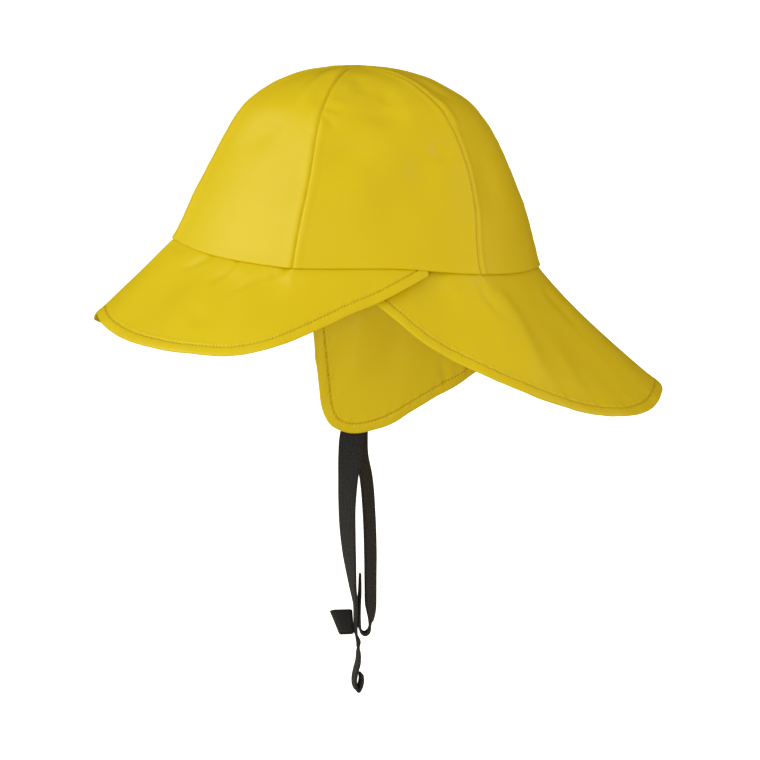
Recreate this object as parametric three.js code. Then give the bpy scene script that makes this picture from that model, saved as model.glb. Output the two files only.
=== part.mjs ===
// A child's rain hat of coated cloth: a crown of six panels, a short front brim, a long back brim,
// an ear flap on each side and a chin strap of two tapes fastened together above a short tail.
// Millimetres, +Z up, -X over the face, -Y over the wearer's left ear.
// The origin is the centre of the head opening.
import * as THREE from "three";
import { mergeVertices } from "three/addons/utils/BufferGeometryUtils.js";

// Crown
const openingLength = 193;
const openingWidth = 159.5;
const crownHeight = 96.5;
const crownWall = 1.5;
const openingSlope = 9.4; // how far the front of the opening stands above its middle
const panelFlatness = 0.42; // 0 is a round crown, 1 is six flat panels
const seamGap = 0.35;

// Brims
const brimWall = 1.8;
const crownLip = 1.1; // how far the crown's lower edge stands out over the brims
const frontBrimReach = 44;
const frontBrimDrop = 42.5;
const backBrimReach = 67;
const backBrimDrop = 72;
const frontBrimFlare = 0.96; // 1 is a straight slope, more is flatter towards the edge
const backBrimFlare = 1.12;
const brimTuck = 3.4; // how far the back brim's ends lie in under the front brim
const tuckFade = { from: 100, to: 116 }; // the turns over which that tuck runs out

// Ear flaps
const flapWall = 1.6;
const flapLength = 90;
const flapTuck = 5; // how far a flap's sewn edge reaches up inside the crown
const flapClearance = 0.5; // between a flap's sewn edge and the back brim's tucked ends
const flapLean = 30; // how far a flap's tip hangs in towards the cheek
const flapCurlSpan = 14; // turns before and behind the tip over which a curl fades
const leftFlapHang = { swing: -1, curl: 0 };
const rightFlapHang = { swing: 15, curl: 60 };

// Chin strap
const strapWidth = 12.5;
const strapWall = 1.4;
const strapDrop = 103.6; // flap tip to the middle of the fastened ends
const strapSewn = 9; // length sewn behind a flap's tip
const leftStrapSeat = 0.7; // between a tape and the flap that it is sewn to
const rightStrapSeat = 1.28; // more, because the tape lies straight across that flap's curl
const tailLength = 37.4;
const tabLength = 32; // the right strap's turned-up end
const strapSpread = 6; // between the right strap and its turned-up end
const loopLength = 12;
const loopDepth = 5.4;
const loopWall = 1.2;
const loopTaper = 0.34; // how much shorter the pull loop is at its lower edge
const loopTilt = 24;
const loopSeat = 0.55; // between the loop's rounded end and the strap

// Mesh steps
const panelSteps = { across: 7, up: 13 }; // of a crown panel
const frontBrimSteps = { along: 46, out: 7 };
const backBrimSteps = { along: 52, out: 9 };
const flapSteps = { along: 16, down: 10 };

const yellowCloth = new THREE.MeshStandardMaterial({ color: 0xd8c414, roughness: 0.42, metalness: 0 });
const darkTape = new THREE.MeshStandardMaterial({ color: 0x29282e, roughness: 0.85, metalness: 0 });

const radians = THREE.MathUtils.degToRad;
const lerp = THREE.MathUtils.lerp;

// Turns are degrees round the opening: 0 over the face, 90 over the left ear, 180 at the nape.
// Each crown seam starts at the rim at its foot turn and has its crest turn from mid height up.
const seams = [
  { foot: 0, crest: 0 },
  { foot: 61, crest: 63 },
  { foot: 122.5, crest: 128.5 },
  { foot: 180, crest: 180 },
  { foot: 237.5, crest: 231.5 },
  { foot: 299, crest: 297 },
  { foot: 360, crest: 360 },
];
const seamTurnAt = (seam, climb) => lerp(seam.foot, seam.crest, THREE.MathUtils.smoothstep(climb, 0, 0.5));

// The crown's outline from rim to top over the face and at the nape.
// Front and back are shares of the opening's half length and width.
const crownProfile = [
  { climb: 0.0, front: 1.0, back: 1.0, height: 0.0 },
  { climb: 0.12, front: 0.937, back: 0.958, height: 0.145 },
  { climb: 0.24, front: 0.892, back: 0.92, height: 0.265 },
  { climb: 0.36, front: 0.836, back: 0.868, height: 0.385 },
  { climb: 0.48, front: 0.777, back: 0.812, height: 0.508 },
  { climb: 0.58, front: 0.72, back: 0.753, height: 0.622 },
  { climb: 0.67, front: 0.66, back: 0.68, height: 0.728 },
  { climb: 0.735, front: 0.605, back: 0.612, height: 0.8 },
  { climb: 0.8, front: 0.52, back: 0.505, height: 0.868 },
  { climb: 0.87, front: 0.4, back: 0.365, height: 0.934 },
  { climb: 0.935, front: 0.25, back: 0.19, height: 0.977 },
  { climb: 1.0, front: 0.0, back: 0.0, height: 1.0 },
];

// The rim's height as a share of openingSlope.
const rimRise = [
  { turn: 0, rise: 1.0 },
  { turn: 20, rise: 0.5 },
  { turn: 38, rise: 0.22 },
  { turn: 62, rise: 0.0 },
  { turn: 90, rise: -0.06 },
  { turn: 118, rise: -0.52 },
  { turn: 150, rise: -0.85 },
  { turn: 180, rise: -0.92 },
];

// Each brim's edge: reach and drop are shares of that brim's own sizes.
const frontBrimEdge = [
  { turn: 0, reach: 0.94, drop: 0.9 },
  { turn: 10, reach: 1.0, drop: 0.965 },
  { turn: 22, reach: 1.02, drop: 1.01 },
  { turn: 34, reach: 1.0, drop: 1.02 },
  { turn: 46, reach: 0.93, drop: 1.0 },
  { turn: 58, reach: 0.755, drop: 0.89 },
  { turn: 70, reach: 0.535, drop: 0.675 },
  { turn: 80, reach: 0.37, drop: 0.48 },
  { turn: 90, reach: 0.24, drop: 0.32 },
  { turn: 98, reach: 0.125, drop: 0.17 },
  { turn: 104, reach: 0.035, drop: 0.05 },
];
const backBrimEdge = [
  { turn: 71, reach: 0.015, drop: 0.025 },
  { turn: 80, reach: 0.085, drop: 0.115 },
  { turn: 90, reach: 0.225, drop: 0.3 },
  { turn: 100, reach: 0.365, drop: 0.505 },
  { turn: 110, reach: 0.445, drop: 0.64 },
  { turn: 120, reach: 0.555, drop: 0.77 },
  { turn: 130, reach: 0.685, drop: 0.88 },
  { turn: 140, reach: 0.82, drop: 0.95 },
  { turn: 150, reach: 0.93, drop: 0.98 },
  { turn: 160, reach: 0.98, drop: 0.96 },
  { turn: 170, reach: 0.985, drop: 0.905 },
  { turn: 180, reach: 0.985, drop: 0.88 },
];

// A flap's lower edge, from its front edge round the tip to its rear edge. Depth is a share of flapLength.
const flapTop = { from: 64, to: 141 };
const flapEdge = [
  { along: 0.0, turn: 70.0, depth: 0.55 },
  { along: 0.1, turn: 71.6, depth: 0.7 },
  { along: 0.18, turn: 73.2, depth: 0.835 },
  { along: 0.27, turn: 77, depth: 0.945 },
  { along: 0.36, turn: 84.3, depth: 0.99 },
  { along: 0.46, turn: 93, depth: 0.96 },
  { along: 0.58, turn: 103, depth: 0.87 },
  { along: 0.71, turn: 114, depth: 0.76 },
  { along: 0.83, turn: 125, depth: 0.66 },
  { along: 0.93, turn: 135.5, depth: 0.55 },
  { along: 1.0, turn: 141, depth: 0.42 },
];
const tipAlong = 0.36;

// Soft dents and folds of the crown: a hollow (minus) or a ridge (plus) along a short line.
const crownFolds = [
  { turn: 78, climb: 0.55, length: 26, lie: 8, width: 9, depth: -2.4 },
  { turn: 96, climb: 0.74, length: 20, lie: 70, width: 9, depth: -2.2 },
  { turn: 108, climb: 0.47, length: 16, lie: 60, width: 8, depth: -2.0 },
  { turn: 95, climb: 0.25, length: 40, lie: 80, width: 12, depth: -1.6 },
  { turn: 30, climb: 0.62, length: 30, lie: 20, width: 11, depth: -1.8 },
  { turn: 140, climb: 0.4, length: 34, lie: 75, width: 12, depth: -1.6 },
  { turn: 250, climb: 0.5, length: 30, lie: 20, width: 11, depth: -1.8 },
  { turn: 322, climb: 0.45, length: 34, lie: 70, width: 11, depth: -1.6 },
];

// Soft waves of the brims: turn along the rim, share of the way out, width in degrees.
const frontBrimFolds = [
  { turn: 22, out: 0.3, wide: 7, long: 0.3, depth: -1.6 },
  { turn: 38, out: 0.3, wide: 6, long: 0.3, depth: -1.8 },
  { turn: 58, out: 0.32, wide: 9, long: 0.35, depth: -2.2 },
  { turn: 322, out: 0.35, wide: 10, long: 0.35, depth: -1.8 },
];
const seamFade = 0.2; // the share of the way from a seam over which a fold grows
const backBrimFolds = [
  { turn: 112, out: 0.35, wide: 10, long: 0.35, depth: -1.8 },
  { turn: 128, out: 0.6, wide: 8, long: 0.4, depth: 2.2 },
  { turn: 152, out: 0.6, wide: 10, long: 0.4, depth: -1.8 },
  { turn: 205, out: 0.6, wide: 12, long: 0.4, depth: -1.8 },
  { turn: 236, out: 0.6, wide: 10, long: 0.4, depth: 2.0 },
];

// A smooth line through a table's rows that never overshoots them.
function smoothColumn(rows, from, to) {
  const x = rows.map((row) => row[from]);
  const y = rows.map((row) => row[to]);
  const slope = y.slice(1).map((value, i) => (value - y[i]) / (x[i + 1] - x[i]));
  const tangent = y.map((_, i) => {
    if (i === 0) return slope[0];
    if (i === y.length - 1) return slope[i - 1];
    const [before, after] = [slope[i - 1], slope[i]];
    return before * after <= 0 ? 0 : (2 * before * after) / (before + after);
  });
  return (at) => {
    const clamped = THREE.MathUtils.clamp(at, x[0], x[x.length - 1]);
    const i = Math.max(0, x.findIndex((value) => value >= clamped) - 1);
    const span = x[i + 1] - x[i];
    const s = (clamped - x[i]) / span;
    const bend = s * s * (3 - 2 * s);
    const start = s * (1 - s) * (1 - s) * span * tangent[i];
    const end = s * s * (s - 1) * span * tangent[i + 1];
    return lerp(y[i], y[i + 1], bend) + start + end;
  };
}

// Turns run from 0 to 360, and the tables hold the left half: the right half is its mirror image.
const mirrored = (turn) => (turn > 180 ? 360 - turn : turn);
const frontReach = smoothColumn(crownProfile, "climb", "front");
const backReach = smoothColumn(crownProfile, "climb", "back");
const profileReach = (turn, climb) =>
  lerp(frontReach(climb), backReach(climb), (1 - Math.cos(radians(turn))) / 2);
const profileHeight = smoothColumn(crownProfile, "climb", "height");
const rimShare = smoothColumn(rimRise, "turn", "rise");
const rimHeight = (turn) => openingSlope * rimShare(mirrored(turn));

function roundOpening(turn, inset = 0) {
  const a = radians(turn);
  return new THREE.Vector2(
    -(openingLength / 2 - inset) * Math.cos(a),
    -(openingWidth / 2 - inset) * Math.sin(a),
  );
}

function outwardAt(turn) {
  const a = radians(turn);
  return new THREE.Vector2(-Math.cos(a) / openingLength, -Math.sin(a) / openingWidth).normalize();
}

// The opening's outline, drawn in towards the straight line between two seams.
function panelledOpening(turn, { climb = 0, inset = 0, flatness = panelFlatness } = {}) {
  const wrapped = THREE.MathUtils.euclideanModulo(turn, 360);
  const turns = seams.map((seam) => seamTurnAt(seam, climb));
  const i = Math.min(turns.length - 2, turns.findLastIndex((seam) => seam <= wrapped));
  const share = (wrapped - turns[i]) / (turns[i + 1] - turns[i]);
  const straight = roundOpening(turns[i], inset).lerp(roundOpening(turns[i + 1], inset), share);
  return roundOpening(wrapped, inset).lerp(straight, flatness);
}

// The crown's outer face without panels or folds; its normal is shared by the panels that meet in a seam.
function plainCrown(turn, climb) {
  const outline = roundOpening(turn).multiplyScalar(profileReach(turn, climb));
  const rim = rimHeight(turn) * (1 - climb) ** 2;
  return new THREE.Vector3(outline.x, outline.y, crownHeight * profileHeight(climb) + rim);
}

function normalOf(surface, u, v, du, dv) {
  const along = surface(u + du, v).sub(surface(u - du, v));
  const across = surface(u, v + dv).sub(surface(u, v - dv));
  return along.cross(across).normalize();
}

function crownNormal(turn, climb) {
  const step = 0.01;
  const nearTop = 1 - 1.5 * step;
  if (climb > nearTop) return new THREE.Vector3(0, 0, 1);
  return normalOf(plainCrown, turn, Math.max(climb, step), 1, step);
}

function crownFoldAt(turn, climb) {
  const here = plainCrown(turn, climb);
  return crownFolds.reduce((sum, fold) => {
    const offset = here.clone().sub(plainCrown(fold.turn, fold.climb));
    const level = outwardAt(fold.turn);
    const along = new THREE.Vector3(-level.y, level.x, 0);
    const up = new THREE.Vector3(0, 0, 1);
    const lie = radians(fold.lie);
    const [x, z] = [offset.dot(along), offset.dot(up)];
    const lengthways = (x * Math.cos(lie) + z * Math.sin(lie)) / fold.length;
    const sideways = (z * Math.cos(lie) - x * Math.sin(lie)) / fold.width;
    const behind = offset.dot(new THREE.Vector3(level.x, level.y, 0)) / openingWidth;
    return sum + fold.depth * Math.exp(-(lengthways ** 2) * 4 - sideways ** 2 - (behind * 4) ** 2);
  }, 0) * THREE.MathUtils.smoothstep(climb, 0, seamFade);
}

function crownFace(turn, climb) {
  const outline = panelledOpening(turn, { climb }).multiplyScalar(profileReach(turn, climb));
  const rim = rimHeight(turn) * (1 - climb) ** 2;
  const point = new THREE.Vector3(outline.x, outline.y, crownHeight * profileHeight(climb) + rim);
  return point.addScaledVector(crownNormal(turn, climb), crownFoldAt(turn, climb));
}

function brimFolds(folds, turn, out) {
  return folds.reduce((sum, fold) => {
    const sideways = (turn - fold.turn) / fold.wide;
    const lengthways = (out - fold.out) / fold.long;
    return sum + fold.depth * Math.exp(-(sideways ** 2) - lengthways ** 2);
  }, 0) * THREE.MathUtils.smoothstep(out, 0, seamFade);
}

// A brim's upper face. Tuck moves its sewn edge in under the brim that lies over it.
function brimSurface({ edge, reach, drop, flare, folds, tuck }) {
  const reachShare = smoothColumn(edge, "turn", "reach");
  const dropShare = smoothColumn(edge, "turn", "drop");
  const bare = (turn, out) => {
    const side = mirrored(THREE.MathUtils.euclideanModulo(turn, 360));
    const start = panelledOpening(turn);
    const outward = outwardAt(turn);
    const away = reach * reachShare(side) * out ** flare - crownLip - tuck(side);
    return new THREE.Vector3(
      start.x + outward.x * away,
      start.y + outward.y * away,
      rimHeight(THREE.MathUtils.euclideanModulo(turn, 360)) - seamGap - drop * dropShare(side) * out,
    );
  };
  return (turn, out) => {
    const wrapped = THREE.MathUtils.euclideanModulo(turn, 360);
    const normal = normalOf(bare, turn, Math.max(out, 0.02), 1, 0.02).negate();
    return bare(turn, out).addScaledVector(normal, brimFolds(folds, wrapped, out));
  };
}

const overlapEnd = frontBrimEdge[frontBrimEdge.length - 1].turn;
const backBrimStart = backBrimEdge[0].turn;
const frontBrimFace = brimSurface({
  edge: frontBrimEdge,
  reach: frontBrimReach,
  drop: frontBrimDrop,
  flare: frontBrimFlare,
  folds: frontBrimFolds,
  tuck: () => 0,
});
const backBrimFace = brimSurface({
  edge: backBrimEdge,
  reach: backBrimReach,
  drop: backBrimDrop,
  flare: backBrimFlare,
  folds: backBrimFolds,
  tuck: (side) => brimTuck * (1 - THREE.MathUtils.smoothstep(side, tuckFade.from, tuckFade.to)),
});

// An ear flap's outer face. Across runs from its front edge to its rear edge, down from its sewn edge.
// Swing moves its tip back, and curl turns the part before the tip in towards the cheek.
function flapSurface(hang, sideSign) {
  const edgeTurn = smoothColumn(flapEdge, "along", "turn");
  const edgeDepth = smoothColumn(flapEdge, "along", "depth");
  const inset = crownLip + brimTuck + brimWall + flapClearance;
  const tipTurn = edgeTurn(tipAlong);
  const spine = roundOpening(tipTurn, inset);
  return (across, down) => {
    const turn = lerp(lerp(flapTop.from, flapTop.to, across), edgeTurn(across), down);
    const share = edgeDepth(across) * down;
    const level = panelledOpening(turn, { inset, flatness: panelFlatness * (1 - share) });
    const front = 1 - THREE.MathUtils.smoothstep(turn, tipTurn - flapCurlSpan, tipTurn + flapCurlSpan);
    const curl = radians(hang.curl) * (1 - (1 - share) ** 3) * front;
    const offset = level.sub(spine).rotateAround(new THREE.Vector2(0, 0), -curl);
    const x = spine.x + offset.x + hang.swing * share ** 1.2;
    const y = spine.y + offset.y + flapLean * share ** 1.3;
    const z = rimHeight(turn) * (1 - share) + flapTuck * (1 - down) - flapLength * share;
    return new THREE.Vector3(x, y * sideSign, z);
  };
}

// Closes a mesh's faces into one geometry without doubled corners or slivers.
function closedGeometry(corners, faces) {
  const loose = new THREE.BufferGeometry();
  const numbers = corners.flatMap((p) => [p.x, p.y, p.z]);
  loose.setAttribute("position", new THREE.Float32BufferAttribute(numbers, 3));
  loose.setIndex(faces.flat());
  const merged = mergeVertices(loose, 1e-3);
  const index = merged.index.array;
  const kept = [];
  for (let i = 0; i < index.length; i += 3) {
    const [a, b, c] = index.slice(i, i + 3);
    if (a !== b && b !== c && c !== a) kept.push(a, b, c);
  }
  merged.setIndex(kept);
  merged.computeVertexNormals();
  return merged;
}

// A wall between two faces that are grids of the same size. Outer[i][j] runs round i and down j.
function wallBetween(outer, inner) {
  const [columns, rows] = [outer.length, outer[0].length];
  const corners = [...outer.flat(), ...inner.flat()];
  const at = (i, j, side) => side * columns * rows + i * rows + j;
  const faces = [];
  const quad = (a, b, c, d) => faces.push([a, b, c], [a, c, d]);
  for (let i = 0; i + 1 < columns; i++) {
    for (let j = 0; j + 1 < rows; j++) {
      quad(at(i, j, 0), at(i, j + 1, 0), at(i + 1, j + 1, 0), at(i + 1, j, 0));
      quad(at(i, j, 1), at(i + 1, j, 1), at(i + 1, j + 1, 1), at(i, j + 1, 1));
    }
    quad(at(i, 0, 0), at(i + 1, 0, 0), at(i + 1, 0, 1), at(i, 0, 1));
    quad(at(i + 1, rows - 1, 0), at(i, rows - 1, 0), at(i, rows - 1, 1), at(i + 1, rows - 1, 1));
  }
  for (let j = 0; j + 1 < rows; j++) {
    quad(at(0, j + 1, 0), at(0, j, 0), at(0, j, 1), at(0, j + 1, 1));
    quad(at(columns - 1, j, 0), at(columns - 1, j + 1, 0), at(columns - 1, j + 1, 1), at(columns - 1, j, 1));
  }
  return closedGeometry(corners, faces);
}

const steps = (count) => Array.from({ length: count + 1 }, (_, i) => i / count);

// One crown panel between two seams, from the rim to a point at the top.
function crownPanel(from, to) {
  const halfRange = radians((to.crest - from.crest) / 2);
  const tipReach = seamGap / Math.sin(halfRange) / openingWidth;
  const topClimb = 1 - tipReach * 0.55;
  const face = (wall) =>
    steps(panelSteps.across).map((across) =>
      steps(panelSteps.up).map((up) => {
        const climb = lerp(topClimb, 0, up);
        const [start, end] = [seamTurnAt(from, climb), seamTurnAt(to, climb)];
        const radius = Math.max((frontReach(climb) * openingWidth) / 2, tipReach);
        const trim = THREE.MathUtils.radToDeg(seamGap / 2 / radius);
        const trimmed = up === 0 ? (end - start) / 2 : Math.min((end - start) / 2, trim);
        const turn = lerp(start + trimmed, end - trimmed, across);
        const level = outwardAt(turn);
        const inward = climb === 0 ? new THREE.Vector3(level.x, level.y, 0) : crownNormal(turn, climb);
        return crownFace(turn, climb).addScaledVector(inward, -wall);
      }),
    );
  return wallBetween(face(0), face(crownWall));
}

// A brim from one turn to another, thickened downwards, with a level cut along its sewn edge.
function brim(face, from, to, counts) {
  const grid = (wall) =>
    steps(counts.along).map((along) =>
      steps(counts.out).map((out) => {
        const turn = lerp(from, to, along);
        const level = outwardAt(turn).negate();
        const sewn = new THREE.Vector3(level.x, level.y, 0);
        const inward = out === 0 ? sewn : normalOf(face, turn, out, 0.8, 0.03);
        return face(turn, out).addScaledVector(inward, wall);
      }),
    );
  return wallBetween(grid(0), grid(brimWall));
}

function earFlap(face, sideSign) {
  const grid = (wall) =>
    steps(flapSteps.along).map((across) =>
      steps(flapSteps.down).map((down) => {
        const [u, v] = [THREE.MathUtils.clamp(across, 0.01, 0.99), THREE.MathUtils.clamp(down, 0.02, 0.98)];
        const normal = normalOf(face, u, v, 0.01, 0.02).multiplyScalar(sideSign);
        return face(across, down).addScaledVector(normal, wall);
      }),
    );
  const [outer, inner] = [grid(0), grid(flapWall)];
  return sideSign > 0 ? wallBetween(outer, inner) : wallBetween(outer.reverse(), inner.reverse());
}

// A flat strap along points that each carry the direction of the strap's width.
function strap(stations, width, wall) {
  const middle = new THREE.CatmullRomCurve3(stations.map((station) => station.point), false, "centripetal");
  const rings = steps((stations.length - 1) * 3).map((t) => {
    const position = t * (stations.length - 1);
    const i = Math.min(Math.floor(position), stations.length - 2);
    const tangent = middle.getTangent(t);
    const across = stations[i].across.clone().lerp(stations[i + 1].across, position - i);
    across.addScaledVector(tangent, -across.dot(tangent)).normalize();
    const thick = across.clone().cross(tangent);
    const [start, end] = [stations[i].width ?? 1, stations[i + 1].width ?? 1];
    const half = (lerp(start, end, position - i) * width) / 2;
    const corner = (a, b) =>
      middle.getPoint(t).addScaledVector(across, a * half).addScaledVector(thick, (b * wall) / 2);
    return [corner(-1, -1), corner(1, -1), corner(1, 1), corner(-1, 1)];
  });
  return loft(rings);
}

// A closed solid through rings of the same number of corners.
function loft(rings) {
  const size = rings[0].length;
  const faces = [];
  for (let i = 0; i + 1 < rings.length; i++) {
    for (let j = 0; j < size; j++) {
      const [a, b] = [i * size + j, i * size + ((j + 1) % size)];
      faces.push([a, b + size, b], [a, a + size, b + size]);
    }
  }
  const last = (rings.length - 1) * size;
  for (let j = 1; j + 1 < size; j++) {
    faces.push([0, j, j + 1], [last, last + j + 1, last + j]);
  }
  return closedGeometry(rings.flat(), faces);
}

// Where the straps come together: the left strap's middle between the pull loop and the right strap's end.
const joined = new THREE.Vector3(-0.8, 0, -(flapLength + strapDrop));

const widthDirection = (degrees) =>
  new THREE.Vector3(Math.cos(radians(degrees)), Math.sin(radians(degrees)), 0);

// The sewn start of a strap behind a flap's tip, lying across the flap's curve like a chord.
function flapTipOf(face, sideSign, seat) {
  const sewnAt = 1 - strapSewn / flapLength;
  const sample = 0.05;
  const spread = face(tipAlong + sample, sewnAt).distanceTo(face(tipAlong - sample, sewnAt));
  const half = (sample * strapWidth) / spread;
  const [before, after] = [-half, half].map((offset) => face(tipAlong + offset, sewnAt));
  const [start, tip] = [face(tipAlong, sewnAt), face(tipAlong, 1)];
  const across = after.clone().sub(before).normalize();
  const fall = tip.clone().sub(start).normalize();
  const inward = across.clone().cross(fall).normalize().multiplyScalar(sideSign);
  const behind = flapWall + seat + strapWall / 2;
  const sewn = before.lerp(after, 0.5).addScaledVector(inward, behind);
  return { sewn, edge: sewn.clone().addScaledVector(fall, tip.distanceTo(start)), fall, across };
}

// Stations of a strap from a flap's tip to the fastened ends. Bow moves it along X, and turn is the way
// in which its width lies, in degrees from X.
const leftHang = [
  { share: 0.1, bow: -1.5, turn: -34 },
  { share: 0.25, bow: -2.8, turn: -52 },
  { share: 0.38, bow: -3.5, turn: -60 },
  { share: 0.52, bow: -3.4, turn: -64 },
  { share: 0.66, bow: -2.7, turn: -73 },
  { share: 0.8, bow: -1.5, turn: -87 },
  { share: 0.92, bow: 0, turn: -95 },
];
const rightHang = [
  { share: 0.1, bow: -0.3, turn: 40 },
  { share: 0.2, bow: -0.1, turn: 48 },
  { share: 0.32, bow: 1.9, turn: 51 },
  { share: 0.5, bow: 2.4, turn: 52 },
  { share: 0.66, bow: 2.0, turn: 52 },
  { share: 0.8, bow: 1.2, turn: 54 },
  { share: 0.92, bow: 0.5, turn: 55 },
];

// The left strap's tail below the fastened ends, with its end folded back up. Down is a share of
// tailLength, and x is in strap walls from the joined middle.
const tailRun = [
  { down: 0, x: 0, turn: -96 },
  { down: 0.17, x: 0.1, turn: -97 },
  { down: 0.31, x: 1.1, turn: -108 },
  { down: 0.42, x: 1.1, turn: -94 },
  { down: 0.57, x: 0.9, turn: -92 },
  { down: 0.68, x: 0.1, turn: -92 },
  { down: 0.81, x: -0.5, turn: -92 },
  { down: 0.91, x: -0.3, turn: -92 },
  { down: 0.965, x: 0.6, turn: -92 },
  { down: 0.91, x: 1.6, turn: -92 },
  { down: 0.81, x: 2.2, turn: -92 },
  { down: 0.73, x: 1.95, turn: -92 },
];

// The right strap's turn at the bottom and its end, which stands up against the left strap.
// Back is a share of strapSpread, and up a share of tabLength.
const tabRun = [
  { back: 0, up: 0, turn: 74 },
  { back: 0.06, up: -0.1, turn: 80 },
  { back: 0.22, up: -0.17, turn: 82 },
  { back: 0.5, up: -0.2, turn: 82 },
  { back: 0.78, up: -0.17, turn: 82 },
  { back: 0.94, up: -0.1, turn: 83 },
  { back: 1, up: 0, turn: 84 },
  { back: 1, up: 0.25, turn: 84 },
  { back: 0.92, up: 0.5, turn: 82 },
  { back: 0.9, up: 0.72, turn: 80 },
  { back: 0.9, up: 0.78, turn: 80, width: 0.6 },
];

function hangingStations(tip, end, hang) {
  const sewn = { point: tip.sewn, across: tip.across };
  const leaving = { point: tip.edge.clone().addScaledVector(tip.fall, 2), across: tip.across };
  const free = hang.map(({ share, bow, turn }) => {
    const point = leaving.point.clone().lerp(end, share);
    point.x += bow;
    return { point, across: widthDirection(turn) };
  });
  return [sewn, leaving, ...free];
}

const leftFlapFace = flapSurface(leftFlapHang, 1);
const rightFlapFace = flapSurface(rightFlapHang, -1);

// The left strap turns edge-on where it is fastened and hangs below that as a tail.
function leftStrap() {
  const tail = tailRun.map(({ down, x, turn }) => ({
    point: joined.clone().add(new THREE.Vector3(x * strapWall, 0, -down * tailLength)),
    across: widthDirection(turn),
  }));
  const hanging = hangingStations(flapTipOf(leftFlapFace, 1, leftStrapSeat), joined, leftHang);
  return strap([...hanging, ...tail], strapWidth, strapWall);
}

// The right strap comes down beside the left one, turns under and stands up against it.
function rightStrap() {
  const tab = joined.clone().add(new THREE.Vector3(strapWall + seamGap, 0, 0));
  const beside = tab.clone().add(new THREE.Vector3(strapSpread, strapSpread * -0.14, 0));
  const turned = tabRun.map(({ back, up, turn, width }) => ({
    point: beside.clone().lerp(tab, back).add(new THREE.Vector3(0, 0, up * tabLength)),
    across: widthDirection(turn),
    width,
  }));
  const hanging = hangingStations(flapTipOf(rightFlapFace, -1, rightStrapSeat), beside, rightHang);
  return strap([...hanging, ...turned], strapWidth, strapWall);
}

// A flattened loop of tape, shorter at its lower edge, whose right end lies against the left strap.
function pullLoop() {
  const outline = (length, depth) => {
    const radius = depth / 2;
    const shape = new THREE.Shape();
    shape.absarc(-radius, 0, radius, -Math.PI / 2, Math.PI / 2, false);
    shape.absarc(-length + radius, 0, radius, Math.PI / 2, (Math.PI * 3) / 2, false);
    return shape;
  };
  const inside = outline(loopLength - 2 * loopWall, loopDepth - 2 * loopWall).getPoints(5);
  const ring = outline(loopLength, loopDepth);
  ring.holes.push(new THREE.Path(inside.map((p) => new THREE.Vector2(p.x - loopWall, p.y)).reverse()));
  const settings = { depth: strapWidth, bevelEnabled: false, curveSegments: 5 };
  const geometry = new THREE.ExtrudeGeometry(ring, settings);
  geometry.translate(0, 0, -strapWidth / 2);
  const position = geometry.attributes.position;
  for (let i = 0; i < position.count; i++) {
    const lower = 0.5 - position.getZ(i) / strapWidth;
    position.setX(i, position.getX(i) * (1 - loopTaper * lower));
  }
  return geometry;
}

const hat = new THREE.Group();

function add(name, geometry, material) {
  const mesh = new THREE.Mesh(geometry, material);
  mesh.name = name;
  hat.add(mesh);
  return mesh;
}

const sides = ["front_left", "left", "back_left", "back_right", "right", "front_right"];
sides.forEach((side, i) => add(`crown_panel_${side}`, crownPanel(seams[i], seams[i + 1]), yellowCloth));

add("front_brim", brim(frontBrimFace, -overlapEnd, overlapEnd, frontBrimSteps), yellowCloth);
add("back_brim", brim(backBrimFace, backBrimStart, 360 - backBrimStart, backBrimSteps), yellowCloth);
add("ear_flap_left", earFlap(leftFlapFace, 1), yellowCloth);
add("ear_flap_right", earFlap(rightFlapFace, -1), yellowCloth);
add("chin_strap_left", leftStrap(), darkTape);
add("chin_strap_right", rightStrap(), darkTape);

const ring = add("strap_pull_loop", pullLoop(), darkTape);
ring.position.copy(joined).x -= strapWall / 2 + loopSeat;
ring.rotation.x = radians(-loopTilt);

export default hat;
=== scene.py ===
import math

import bmesh
import bpy
import numpy as np
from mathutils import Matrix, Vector


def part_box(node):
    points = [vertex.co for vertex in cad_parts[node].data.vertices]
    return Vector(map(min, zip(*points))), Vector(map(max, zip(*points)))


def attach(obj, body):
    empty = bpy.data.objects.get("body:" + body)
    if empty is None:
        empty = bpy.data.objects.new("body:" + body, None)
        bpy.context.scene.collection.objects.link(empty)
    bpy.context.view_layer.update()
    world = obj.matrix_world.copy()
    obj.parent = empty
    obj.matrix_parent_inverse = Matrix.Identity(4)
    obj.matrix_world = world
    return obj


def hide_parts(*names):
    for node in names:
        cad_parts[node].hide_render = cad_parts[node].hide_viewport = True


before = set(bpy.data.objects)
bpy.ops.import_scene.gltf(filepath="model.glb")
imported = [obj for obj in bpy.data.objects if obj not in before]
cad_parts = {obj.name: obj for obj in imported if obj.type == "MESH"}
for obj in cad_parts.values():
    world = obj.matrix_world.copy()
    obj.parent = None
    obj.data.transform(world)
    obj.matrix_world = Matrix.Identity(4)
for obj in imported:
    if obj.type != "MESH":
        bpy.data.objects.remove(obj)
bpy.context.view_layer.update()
print("hat: the CAD frame is loaded")

mm = 0.001


# Camera and light
cameraSetup = {
    "azimuth": -11.0,  # degrees round the hat, 0 looks along +Y
    "elevation": 7.0,
    "aimRight": 11.9,  # the middle of the picture, mm from the head opening's centre
    "aimUp": -66.6,
    "frameWidth": 392.6,  # mm across the picture at the hat
    "distance": 4000.0,  # far away with a long lens, as in the product picture
    "sensor": 36.0,
}


def viewAxes(azimuth, elevation):
    a, e = math.radians(azimuth), math.radians(elevation)
    back = Vector((math.sin(a) * math.cos(e), -math.cos(a) * math.cos(e), math.sin(e)))
    right = Vector((math.cos(a), math.sin(a), 0))
    return right, back.cross(right), back


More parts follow.
